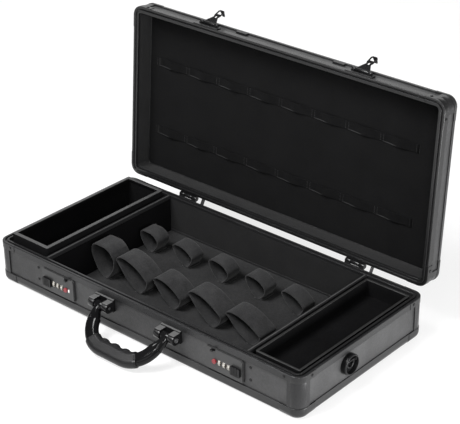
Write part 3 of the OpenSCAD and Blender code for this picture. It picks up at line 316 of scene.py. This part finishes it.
def woven(name, dark, light, sheen=0.12, gloss=0.15, selvedge=None):
    """Elastic webbing: fine weft ribs across the band and coarser warp cords along it.

    selvedge gives the half width, the pitch of the bows along the band and the colour of a painted
    highlight on the edge where each bow lifts, standing in for the light it catches."""
    weft, warp, depth = 0.0012, 0.0019, 0.00012
    m = Mat(name, dark, 0.9, Specular_IOR_Level=gloss, Sheen_Weight=sheen)
    weave = m.axes(m.node("ShaderNodeUVMap", uv_map="weave").outputs["UV"])
    ribs = m.math("SINE", m.math("MULTIPLY", weave["X"], 2 * math.pi / weft))
    cords = m.math("SINE", m.math("MULTIPLY", weave["Y"], 2 * math.pi / warp))
    lumps = m.sum(ribs, cords)
    fuzz = m.sum(m.noise(60, detail=4), m.noise(420))
    tone = m.ramp(m.math("ADD", m.math("MULTIPLY", lumps, 0.06), fuzz), *MIDDLE, dark, light)
    # Painted highlight: a light line on the band's edge, strongest where each bow lifts
    if selvedge:
        half, pitch, edge = selvedge
        bow = m.math("SINE", m.math("MULTIPLY", weave["X"], 2 * math.pi / pitch))
        rim = m.range(weave["Y"], half - 0.0018, half - 0.0006)
        tone = m.over(m.math("MULTIPLY", rim, m.range(bow, 0.1, 0.8)), tone, edge)
    m.colour(tone)
    m.bump(lumps, depth)
    m.bump(m.noise(700), depth * 0.6, 0.5)
    return m.mat


def grey(level, blue=None):
    """A neutral colour, or one with its own blue."""
    return (level, level, level if blue is None else blue)


BRUSHED = (1, 1, 12)
TURNED = (30, 1, 1)
# The painted highlight line on the divider edgings: its two distances from the middle of the case
EDGING_HIGHLIGHT = (0.1862, 0.1876)
# The lid's flat elastic: half its width, and the pitch of its waves
FLAT_HALF, FLAT_WAVES = 0.0065, 0.0602

looks = {
    "shell": grained("shell", grey(0.010, 0.0105), grey(0.034, 0.0349), 0.44),
    "frame": satin("frame", grey(0.017, 0.0178), grey(0.025, 0.026), 0.30, 0.42, BRUSHED),
    # Painted shade: the lid's rim rails and corners are a darker copy of the frame
    "lid_rim": satin("lid_rim", grey(0.008, 0.0083), grey(0.013, 0.0135), 0.30, 0.25, BRUSHED),
    "edge": satin("edge", grey(0.013, 0.0136), grey(0.020, 0.0207), 0.36, 0.0, BRUSHED,
                  Specular_IOR_Level=0.35),
    "corner": satin("corner", grey(0.010, 0.0105), grey(0.016, 0.0165), 0.32, 0.1,
                    Specular_IOR_Level=0.4),
    # One lining fabric in copies of different tone: the floor's (lining) is the lightest, and the darker copies on
    # the base's walls (back), the lid's walls (wall), the lid's top (hood) and the dividers (board) are painted
    # shade
    "lining": cloth("lining", grey(0.0095, 0.010), grey(0.0225, 0.023), sheen=0.06),
    "hood": cloth("hood", grey(0.0026, 0.0028), grey(0.0044, 0.0046), sheen=0.02, gloss=0.08),
    "back": cloth("back", grey(0.0055, 0.0058), grey(0.0095, 0.0098), sheen=0.05),
    "board": cloth("board", grey(0.0022, 0.0024), grey(0.0036, 0.0039), sheen=0.01, gloss=0.03),
    "wall": cloth("wall", grey(0.0085, 0.0088), grey(0.0140, 0.0143), sheen=0.06),
    "tray": cloth("tray", grey(0.0027, 0.0029), grey(0.0050, 0.0053), weave=1100, sheen=0.01,
                  gloss=0.03),
    "piping": satin("piping", grey(0.045), grey(0.06), 0.5),
    "dark_piping": satin("dark_piping", grey(0.010), grey(0.015), 0.5),
    # The divider edgings' grey(0.075) line is a painted highlight
    "edging": striped("edging", grey(0.010, 0.0105), grey(0.075), *EDGING_HIGHLIGHT, 0.45),
    "elastic": woven("elastic", grey(0.0105, 0.0112), grey(0.0265, 0.0272)),
    # The flat elastic's grey(0.040) is the painted highlight on the edges of its bows
    "flat_elastic": woven("flat_elastic", grey(0.0026, 0.0028), grey(0.0044, 0.0046), sheen=0.015,
                          gloss=0.06, selvedge=(FLAT_HALF, FLAT_WAVES, grey(0.040, 0.0405))),
    "thread": satin("thread", grey(0.011, 0.0114), grey(0.018, 0.0184), 0.7),
    "steel": satin("steel", grey(0.45, 0.46), grey(0.55, 0.56), 0.3, 1.0, TURNED),
    "black_metal": satin("black_metal", grey(0.004, 0.0043), grey(0.007, 0.0074), 0.25,
                         Specular_IOR_Level=0.3),
    # The brackets' grey(0.10) is the painted highlight on their upward faces
    "bracket": topped("bracket", grey(0.004, 0.0043), grey(0.008, 0.0085), grey(0.10), 0.22,
                      Specular_IOR_Level=0.3),
    "lock": satin("lock", grey(0.020, 0.0205), grey(0.030, 0.0305), 0.36),
    "slider": satin("slider", grey(0.003, 0.0034), grey(0.006, 0.0065), 0.3,
                    Specular_IOR_Level=0.25),
    "dial": wheel("dial", (0.37, 0.355, 0.325), (0.44, 0.425, 0.395), (0.06, 0.048, 0.032), 0.35),
    "digit": satin("digit", grey(0.012), grey(0.02), 0.5),
    "mark": satin("mark", grey(0.75, 0.73), grey(0.82, 0.80), 0.4),
    "handle": satin("handle", grey(0.003, 0.0033), grey(0.005, 0.0053), 0.09,
                    Specular_IOR_Level=0.18),
    "grip": grained("grip", grey(0.0055, 0.006), grey(0.010, 0.0105), 0.34, 1300, 0.00010,
                    Specular_IOR_Level=0.3),
    "button": satin("button", (0.19, 0.014, 0.020), (0.25, 0.026, 0.032), 0.28),
}
floor.data.materials.append(satin("floor", grey(0.27), grey(0.29), 0.8,
                                  Emission_Color=(1, 1, 1, 1), Emission_Strength=0.72))

# Nodes that look different from the rest of their material slot
OWN_LOOKS = {
    "slider": ("left_thumb_slider", "right_thumb_slider", "strap_cups", "left_strap_ring",
               "right_strap_ring"),
    # The handle brackets take the look with the painted top highlight
    "bracket": ("handle_brackets",),
    "black_metal": ("hinge_pins", "left_latch_slide", "right_latch_slide"),
    # The divider edgings take the look with the painted highlight line
    "edging": ("divider_edgings",),
    # Painted shade: the dividers and the linings of the lid and of the base's walls take darker copies of the
    # lining
    "board": ("dividers",),
    "hood": ("lid_top_lining",),
    "wall": ("lid_wall_lining",),
    "back": ("base_wall_lining",),
    "edge": ("base_edge_rails", "lid_edge_rails"),
    # The lid's rim takes the darker, painted-shade copy of the frame
    "lid_rim": ("lid_rim_rails", "lid_rim_corners"),
}
own_look = {node: look for look, members in OWN_LOOKS.items() for node in members}

# Width of the small rounded edges on moulded and folded pieces, by material slot
EDGE_WIDTHS = {"frame": 0.0004, "corner": 0.0005, "lock": 0.0003, "black_metal": 0.00025,
               "handle": 0.0005, "grip": 0.0004, "button": 0.0002, "dial": 0.00015}
MERGE = 0.000002
FLAT_ANGLE, EDGE_ANGLE = math.radians(0.8), math.radians(38)


def round_edges(obj, width):
    """Merge the facets of flat faces and round the sharp edges between them, by modifiers alone."""
    weld = obj.modifiers.new("weld", "WELD")
    weld.merge_threshold = MERGE
    flatten = obj.modifiers.new("flatten", "DECIMATE")
    flatten.decimate_type = "DISSOLVE"
    flatten.angle_limit = FLAT_ANGLE
    bevel = obj.modifiers.new("edge", "BEVEL")
    bevel.width, bevel.segments, bevel.limit_method = width, 2, "ANGLE"
    bevel.angle_limit = EDGE_ANGLE
    bevel.use_clamp_overlap = True
    bevel.harden_normals = True


for part in frame["record"]["subparts"]:
    node, slot = part["node"], part["material_slot"]
    nodes[node].data.materials.clear()
    nodes[node].data.materials.append(looks[own_look.get(node, slot)])
    if slot in EDGE_WIDTHS:
        round_edges(nodes[node], EDGE_WIDTHS[slot])

# ---------------------------------------------------------------- shapes
MM = 0.001
# Cells across a band, and the roundness of its selvedges as a share of its thickness
ACROSS, SELVEDGE, SELVEDGE_CORNER = 12, 0.45, 0.3


def spline(points, steps):
    """A closed Catmull-Rom curve through 2-D points."""
    n = len(points)
    line = []
    for i in range(n):
        a, b, c, d = (Vector(points[(i + k) % n]) for k in (-1, 0, 1, 2))
        for k in range(steps):
            t = k / steps
            line.append(0.5 * (2 * b + (c - a) * t + (2 * a - 5 * b + 4 * c - d) * t * t
                               + (3 * b - a - 3 * c + d) * t ** 3))
    return line


def normals(line, closed):
    """Unit normals on the left of a 2-D line."""
    n = len(line)
    found = []
    for i in range(n):
        ahead = line[(i + 1) % n] if closed else line[min(i + 1, n - 1)]
        behind = line[i - 1] if closed else line[max(i - 1, 0)]
        d = (ahead - behind).normalized()
        found.append(Vector((-d.y, d.x)))
    return found


def band_section(thickness, width):
    """The section of a band as points across it and into it, with rounded selvedges."""
    half, soft = width / 2, thickness * SELVEDGE
    nick = soft * SELVEDGE_CORNER
    flat = [-half + soft + (width - 2 * soft) * k / ACROSS for k in range(ACROSS + 1)]
    ring = [(y, 0.0) for y in flat]
    ring += [(half - nick, nick), (half, thickness / 2), (half - nick, thickness - nick)]
    ring += [(y, thickness) for y in reversed(flat)]
    ring += [(-half + nick, thickness - nick), (-half, thickness / 2), (-half + nick, nick)]
    return ring


def band(name, line, thickness, width, centre, closed, material):
    """A woven band. The line is its outer face in X and Z, and it is width wide along Y about centre.

    Its UV map gives metres along the band and across it."""
    side = normals(line, closed)
    area = sum(line[i - 1].x * line[i].y - line[i].x * line[i - 1].y for i in range(len(line)))
    inwards = 1 if closed and area > 0 else -1
    section = band_section(thickness, width)
    verts, faces, uvs = [], [], []
    run, size, count = 0.0, len(section), len(line)
    for i, p in enumerate(line):
        if i:
            run += (p - line[i - 1]).length
        for y, depth in section:
            q = p + side[i] * inwards * depth
            verts.append((q.x, centre + y, q.y))
            uvs.append((run, y))
    total = run + (line[0] - line[-1]).length
    loop_uv = []
    for i in range(count if closed else count - 1):
        for j in range(size):
            a, b = i * size + j, i * size + (j + 1) % size
            c, d = ((i + 1) % count) * size + (j + 1) % size, ((i + 1) % count) * size + j
            faces.append((a, d, c, b) if inwards < 0 else (a, b, c, d))
            # The last cells of a closed band end at its full length, not back at its start
            closing = i == count - 1
            loop_uv += [(total, uvs[v][1]) if closing and v < size else uvs[v] for v in faces[-1]]
    if not closed:
        first, last = tuple(range(size)), tuple(range((count - 1) * size, count * size))
        faces += [first, last[::-1]] if inwards < 0 else [first[::-1], last]
        loop_uv += [uvs[v] for end in faces[-2:] for v in end]
    obj = mesh_object(name, verts, faces)
    layer = obj.data.uv_layers.new(name="weave")
    for k, uv in enumerate(loop_uv):
        layer.data[k].uv = uv
    obj.data.materials.append(material)
    return obj


def join(name, objs):
    """One object from several, with their materials."""
    mesh = bpy.data.meshes.new(name)
    bm = bmesh.new()
    slots = []
    for obj in objs:
        index = []
        for material in obj.data.materials:
            if material not in slots:
                slots.append(material)
            index.append(slots.index(material))
        start = len(bm.faces)
        bm.from_mesh(obj.data)
        bm.faces.ensure_lookup_table()
        for face in bm.faces[start:]:
            face.material_index = index[face.material_index]
        bpy.data.objects.remove(obj)
    bmesh.ops.recalc_face_normals(bm, faces=bm.faces)
    bm.to_mesh(mesh)
    bm.free()
    for material in slots:
        mesh.materials.append(material)
    return link(bpy.data.objects.new(name, mesh))


# One stitch: places along it, and its thickness there as a share of the full one
STITCH_PROFILE = [(0.0, 0.25), (0.18, 0.85), (0.5, 1.0), (0.82, 0.85), (1.0, 0.25)]
STITCH_SIDES = 6
# Share of a stitch's pitch that shows, and reach of a seam as a share of the band's width
STITCH_SHOWS, SEAM_REACH = 0.7, 0.46


def stitch(a, b, radius):
    """A short stitch of thread from a to b, thinner at both ends."""
    axis = (b - a).normalized()
    side = axis.orthogonal().normalized()
    other = axis.cross(side)
    verts, faces = [], []
    for t, share in STITCH_PROFILE:
        for k in range(STITCH_SIDES):
            w = 2 * math.pi * k / STITCH_SIDES
            verts.append(a.lerp(b, t) + (side * math.cos(w) + other * math.sin(w)) * radius * share)
    for i in range(0, len(verts) - STITCH_SIDES, STITCH_SIDES):
        for k in range(STITCH_SIDES):
            n = (k + 1) % STITCH_SIDES
            faces.append((i + k, i + n, i + STITCH_SIDES + n, i + STITCH_SIDES + k))
    faces += [tuple(range(STITCH_SIDES))[::-1], tuple(range(len(verts) - STITCH_SIDES, len(verts)))]
    obj = mesh_object("stitch", verts, faces)
    obj.data.materials.append(looks["thread"])
    return obj


def seam(x, z, centre, width, pitch, radius):
    """A row of stitches across a band, along Y."""
    a = Vector((x, centre - width * SEAM_REACH, z))
    b = Vector((x, centre + width * SEAM_REACH, z))
    count = max(1, round((b - a).length / pitch))
    ends = [[a.lerp(b, (k + 0.5 + half) / count) for half in (-STITCH_SHOWS / 2, STITCH_SHOWS / 2)]
            for k in range(count)]
    return [stitch(start, end, radius) for start, end in ends]


# ---------------------------------------------------------------- fabric-covered boards
# The lid's soft pieces are made in its shut position and turned up about the hinge axis
HINGE = Vector((0, 0.1394, 0.0673))
OPEN = (Matrix.Translation(HINGE) @ Matrix.Rotation(math.radians(-94.5), 4, "X")
        @ Matrix.Translation(-HINGE))
# Spacing of the cells on a board, merging distance, and depth of the binding round a tray's rim
CELL, WELD, BINDING_DEPTH = 0.009, 1e-6, 0.0011
COPLANAR_ANGLE, SHARP_ANGLE = math.radians(1), math.radians(35)
# The slow waves in the fabric: how close they lie, where the noise starts, its swing and its bias
WAVES_PER_METRE, WAVE_START, WAVE_SWING, WAVE_BIAS = 22, Vector((7, 3, 1)), 1.2, 0.35


def divide(bm, low, high):
    """Cut a board into cells along all three axes, so that its faces can bend."""
    for k in range(3):
        count = int((high[k] - low[k]) / CELL)
        for i in range(1, count):
            point, normal = Vector((0, 0, 0)), Vector((0, 0, 0))
            point[k], normal[k] = low[k] + i * (high[k] - low[k]) / count, 1
            bmesh.ops.bisect_plane(bm, geom=bm.verts[:] + bm.edges[:] + bm.faces[:], dist=WELD,
                                   plane_co=point, plane_no=normal)


def soft_copy(name, node, body, edge=0.0006, wave=0.00018, turned=None, binding=None):
    """A fabric-covered board in place of a plain solid: rounded edges, and faces never quite flat."""
    bm = bmesh.new()
    bm.from_mesh(nodes[node].data)
    if turned:
        bm.transform(turned.inverted())
    bmesh.ops.remove_doubles(bm, verts=bm.verts, dist=WELD)
    bmesh.ops.dissolve_limit(bm, angle_limit=COPLANAR_ANGLE, verts=bm.verts, edges=bm.edges)
    sharp = [e for e in bm.edges if len(e.link_faces) == 2 and e.calc_face_angle(0) > SHARP_ANGLE]
    bmesh.ops.bevel(bm, geom=sharp, offset=edge, segments=2, profile=0.6, affect="EDGES",
                    clamp_overlap=True)
    bmesh.ops.triangulate(bm, faces=[f for f in bm.faces if len(f.verts) > 4])
    low = [min(v.co[k] for v in bm.verts) for k in range(3)]
    high = [max(v.co[k] for v in bm.verts) for k in range(3)]
    divide(bm, low, high)
    bm.normal_update()
    # The fabric only sinks in, so the board stays inside its solid
    for v in bm.verts:
        sink = noise.noise(v.co * WAVES_PER_METRE + WAVE_START) * WAVE_SWING - WAVE_BIAS
        v.co += v.normal * wave * min(0, sink)
    if turned:
        bm.transform(turned)
    mesh = bpy.data.meshes.new(name)
    bm.to_mesh(mesh)
    bm.free()
    mesh.materials.append(nodes[node].data.materials[0])
    if binding:
        mesh.materials.append(looks[binding])
    for face in mesh.polygons:
        face.use_smooth = True
        if binding and face.center.z > high[2] - BINDING_DEPTH:
            face.material_index = 1
    obj = link(bpy.data.objects.new(name, mesh))
    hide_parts(node)
    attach(obj, body)
    return obj


floor_cloth = soft_copy("floor_lining_cloth", "base_floor_lining", "base", edge=0.0004)
wall_cloth = soft_copy("wall_lining_boards", "base_wall_lining", "base")
divider_cloth = soft_copy("divider_boards", "dividers", "base")
ledge_cloth = soft_copy("tray_ledge_blocks", "tray_ledges", "base")
top_cloth = soft_copy("lid_top_cloth", "lid_top_lining", "lid", edge=0.0005, wave=0.0004, turned=OPEN)
side_cloth = soft_copy("lid_side_boards", "lid_wall_lining", "lid", turned=OPEN)
for side, binding in (("left", "piping"), ("right", "dark_piping")):
    tray = side + "_tray"
    tray_cloth = soft_copy(tray + "_box", tray, tray, edge=0.0007, binding=binding)

# ---------------------------------------------------------------- elastic loops
# They run through the same points as their solids, in millimetres from the foot of each loop
UPRIGHT = [(0, 0), (-17.8, 8.4), (-29.9, 26.2), (-31.8, 39.2), (-25.2, 45.8), (-11.2, 46.7),
           (2.8, 45.8), (14, 39.2), (20.5, 29), (15.8, 15)]
LEANING = [(0, 0), (-21.5, 14), (-37.3, 30.8), (-43.9, 40.2), (-35.5, 45.8), (-20.5, 44.8),
           (-3.7, 38.3), (11.2, 28), (17.7, 20.6), (12, 8)]
LOOP_FIRST, LOOP_PITCH = -160.5, 70.4
# Thickness of the elastic, height of the floor lining, and how close a loop comes to it
ELASTIC, FLOOR_Z, LOOP_LIFT = 1.8 * MM, 4.9 * MM, 0.1 * MM
# Steps between the points of a loop, to find its lowest point and to draw it
COARSE, FINE = 4, 10
# The sewn foot: half its length, half its flat part, the height of its ends, its thickness as a share of
# the elastic's and its width as a share of the loop's
FOOT_HALF, FOOT_FLAT, FOOT_END, FOOT_THIN, FOOT_NARROW = 7.5 * MM, 3.5 * MM, 1.2 * MM, 0.6, 0.98
# Its seams: distance from the middle, height above the elastic, pitch and radius of the stitches
FOOT_SEAM_X, FOOT_SEAM_Z, FOOT_SEAM = 2.2 * MM, 0.2 * MM, (3.4 * MM, 0.3 * MM)


def loop_row(name, leans, heights, size, centre, width, squeeze, shifts):
    """A row of loops, each between upright and leaning, on a foot sewn to the floor lining."""
    made = []
    for i, lean in enumerate(leans):
        points = []
        for a, b in zip(UPRIGHT, LEANING):
            x, y = ((1 - lean) * a[k] + lean * b[k] for k in (0, 1))
            points.append((x * size * squeeze[i], y * size * heights[i]))
        low = min(p.y for p in spline(points, COARSE))
        shift = Vector((i * LOOP_PITCH + shifts[i] + LOOP_FIRST, FLOOR_Z / MM - low))
        line = [(p + shift) * MM for p in spline(points, FINE)]
        line = [Vector((p.x, max(p.y, FLOOR_Z + LOOP_LIFT))) for p in line]
        made.append(band(f"{name}_{i}", line, ELASTIC, width, centre, True, looks["elastic"]))
        x = shift.x * MM
        foot = [Vector((x + dx, FLOOR_Z + dz)) for dx, dz in (
            (-FOOT_HALF, FOOT_END), (-FOOT_FLAT, ELASTIC), (FOOT_FLAT, ELASTIC), (FOOT_HALF, FOOT_END))]
        made.append(band(f"{name}_foot_{i}", foot, ELASTIC * FOOT_THIN, width * FOOT_NARROW, centre,
                         False, looks["elastic"]))
        for dx in (-FOOT_SEAM_X, FOOT_SEAM_X):
            made += seam(x + dx, FLOOR_Z + ELASTIC + FOOT_SEAM_Z, centre, width, *FOOT_SEAM)
    row = join(name, made)
    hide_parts(name.replace("elastic_", ""))
    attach(row, "base")


loop_row("elastic_front_loops", leans=(0, 0.9, 0.9, 1, 1.05), heights=(1.12, 1.04, 0.88, 0.97, 0.85),
         size=1.0, centre=-0.027, width=0.034, squeeze=(0.88, 1, 0.87, 1, 1), shifts=(5, 0, -3, 0, 0))
loop_row("elastic_rear_loops", leans=(0, 0.5, 0.3, 0.4, 0.8), heights=(1.05,) * 5,
         size=0.68, centre=0.067, width=0.026, squeeze=(1,) * 5, shifts=(1,) * 5)

# ---------------------------------------------------------------- flat elastic in the lid
# Height of the lid's lining when shut, and the bows between the places where the bands are sewn down
CEILING = 0.094
BAND_FIRST, BAND_PITCH, BAND_COUNT, BAND_FLAT = -0.222, 0.060, 8, 0.017
BAND_THICKNESS, BAND_BOW, BAND_TAIL, BOW_STEPS = 0.0012, 0.0024, 0.009, 16
BAND_ROWS, BAND_WIDTH = (-0.047, 0.063), 0.013
# Its seams: distance from the middle of a sewn place, depth below the lining, pitch and radius
BAND_SEAM_X, BAND_SEAM_Z, BAND_SEAM = 0.0025, 0.00125, (0.0026, 0.00028)


def lid_band(row, centre):
    """One row of flat elastic, with its seams."""
    span = BAND_PITCH - BAND_FLAT
    line = [Vector((BAND_FIRST - span / 2 - BAND_TAIL, CEILING))]
    for i in range(BAND_COUNT):
        for k in range(BOW_STEPS + 1):
            u = k / BOW_STEPS
            x = BAND_FIRST + i * BAND_PITCH + (u - 0.5) * span
            line.append(Vector((x, CEILING - BAND_BOW * math.sin(math.pi * u) ** 2)))
    line.append(Vector((BAND_FIRST + (BAND_COUNT - 1) * BAND_PITCH + span / 2 + BAND_TAIL, CEILING)))
    made = [band(f"lid_band_{row}", line, BAND_THICKNESS, BAND_WIDTH, centre, False,
                 looks["flat_elastic"])]
    for i in range(BAND_COUNT + 1):
        x = BAND_FIRST + (i - 0.5) * BAND_PITCH
        for dx in (-BAND_SEAM_X, BAND_SEAM_X):
            made += seam(x + dx, CEILING - BAND_SEAM_Z, centre, BAND_WIDTH, *BAND_SEAM)
    return made


bands = join("lid_bands", [piece for row, centre in enumerate(BAND_ROWS) for piece in lid_band(row, centre)])
bands.data.transform(OPEN)
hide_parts("lid_elastic_bands")
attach(bands, "lid")

# ---------------------------------------------------------------- numbers on the dials
DIAL_R, DIGIT_HEIGHT = 0.006, 0.0021
# How far a digit stands out of the dial, and how far it is sunk in
DIGIT_PROUD, DIGIT_SUNK = 0.00006, 0.00012
DIGITS = 10


def digit_mesh(number):
    """A numeral as a thin closed mesh, one unit high, centred."""
    curve = bpy.data.curves.new("numeral", "FONT")
    curve.body, curve.extrude, curve.resolution_u = str(number), 0.02, 3
    obj = link(bpy.data.objects.new("numeral", curve))
    bpy.context.view_layer.update()
    mesh = bpy.data.meshes.new_from_object(obj.evaluated_get(bpy.context.evaluated_depsgraph_get()))
    bpy.data.objects.remove(obj)
    low = [min(v.co[k] for v in mesh.vertices) for k in range(2)]
    high = [max(v.co[k] for v in mesh.vertices) for k in range(2)]
    tall = high[1] - low[1]
    for v in mesh.vertices:
        v.co.x, v.co.y = (v.co.x - (low[0] + high[0]) / 2) / tall, (v.co.y - (low[1] + high[1]) / 2) / tall
    mesh.materials.clear()
    mesh.materials.append(looks["digit"])
    return mesh


def wrap_digit(mesh, centre, turn):
    """Lay a flat digit round a dial, turned away from the front."""
    for v in mesh.vertices:
        angle = turn + v.co.y * DIGIT_HEIGHT / DIAL_R
        reach = DIAL_R + (DIGIT_PROUD if v.co.z > 0 else -DIGIT_SUNK)
        v.co = centre + Vector((v.co.x * DIGIT_HEIGHT, -math.cos(angle) * reach, math.sin(angle) * reach))


numerals = [digit_mesh(number) for number in range(DIGITS)]
for joint in frame["joints"]:
    if "_dial_" not in joint["name"]:
        continue
    start = random.randrange(DIGITS)
    shown = []
    for k in range(DIGITS):
        mesh = numerals[(start + k) % DIGITS].copy()
        wrap_digit(mesh, Vector(joint["pos_m"]), math.radians(360 / DIGITS * k))
        shown.append(link(bpy.data.objects.new("number", mesh)))
    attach(join(joint["child"] + "_numbers", shown), joint["child"])

# ---------------------------------------------------------------- white mark beside the left button
MARK_X, MARK_Z, MARK_RADIUS, MARK_TALL, MARK_SIDES = -0.134, 0.0345, 0.0016, 1.6, 24
# Its outline, its edge and its slightly smaller face: depth and radius
MARK_RINGS = ((-0.1367, MARK_RADIUS), (-0.13685, MARK_RADIUS), (-0.13695, MARK_RADIUS * 0.86))
mark_verts, mark_faces = [], []
for y, r in MARK_RINGS:
    for k in range(MARK_SIDES):
        turn = 2 * math.pi * k / MARK_SIDES
        mark_verts.append((MARK_X + r * math.cos(turn), y, MARK_Z + r * MARK_TALL * math.sin(turn)))
for ring in (0, MARK_SIDES):
    for k in range(MARK_SIDES):
        n = (k + 1) % MARK_SIDES
        mark_faces.append((ring + k, ring + n, ring + MARK_SIDES + n, ring + MARK_SIDES + k))
mark_faces += [tuple(range(MARK_SIDES))[::-1], tuple(range(2 * MARK_SIDES, 3 * MARK_SIDES))]
mark = mesh_object("white_dot", mark_verts, mark_faces, smooth=False)
mark.data.materials.append(looks["mark"])
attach(mark, "base")
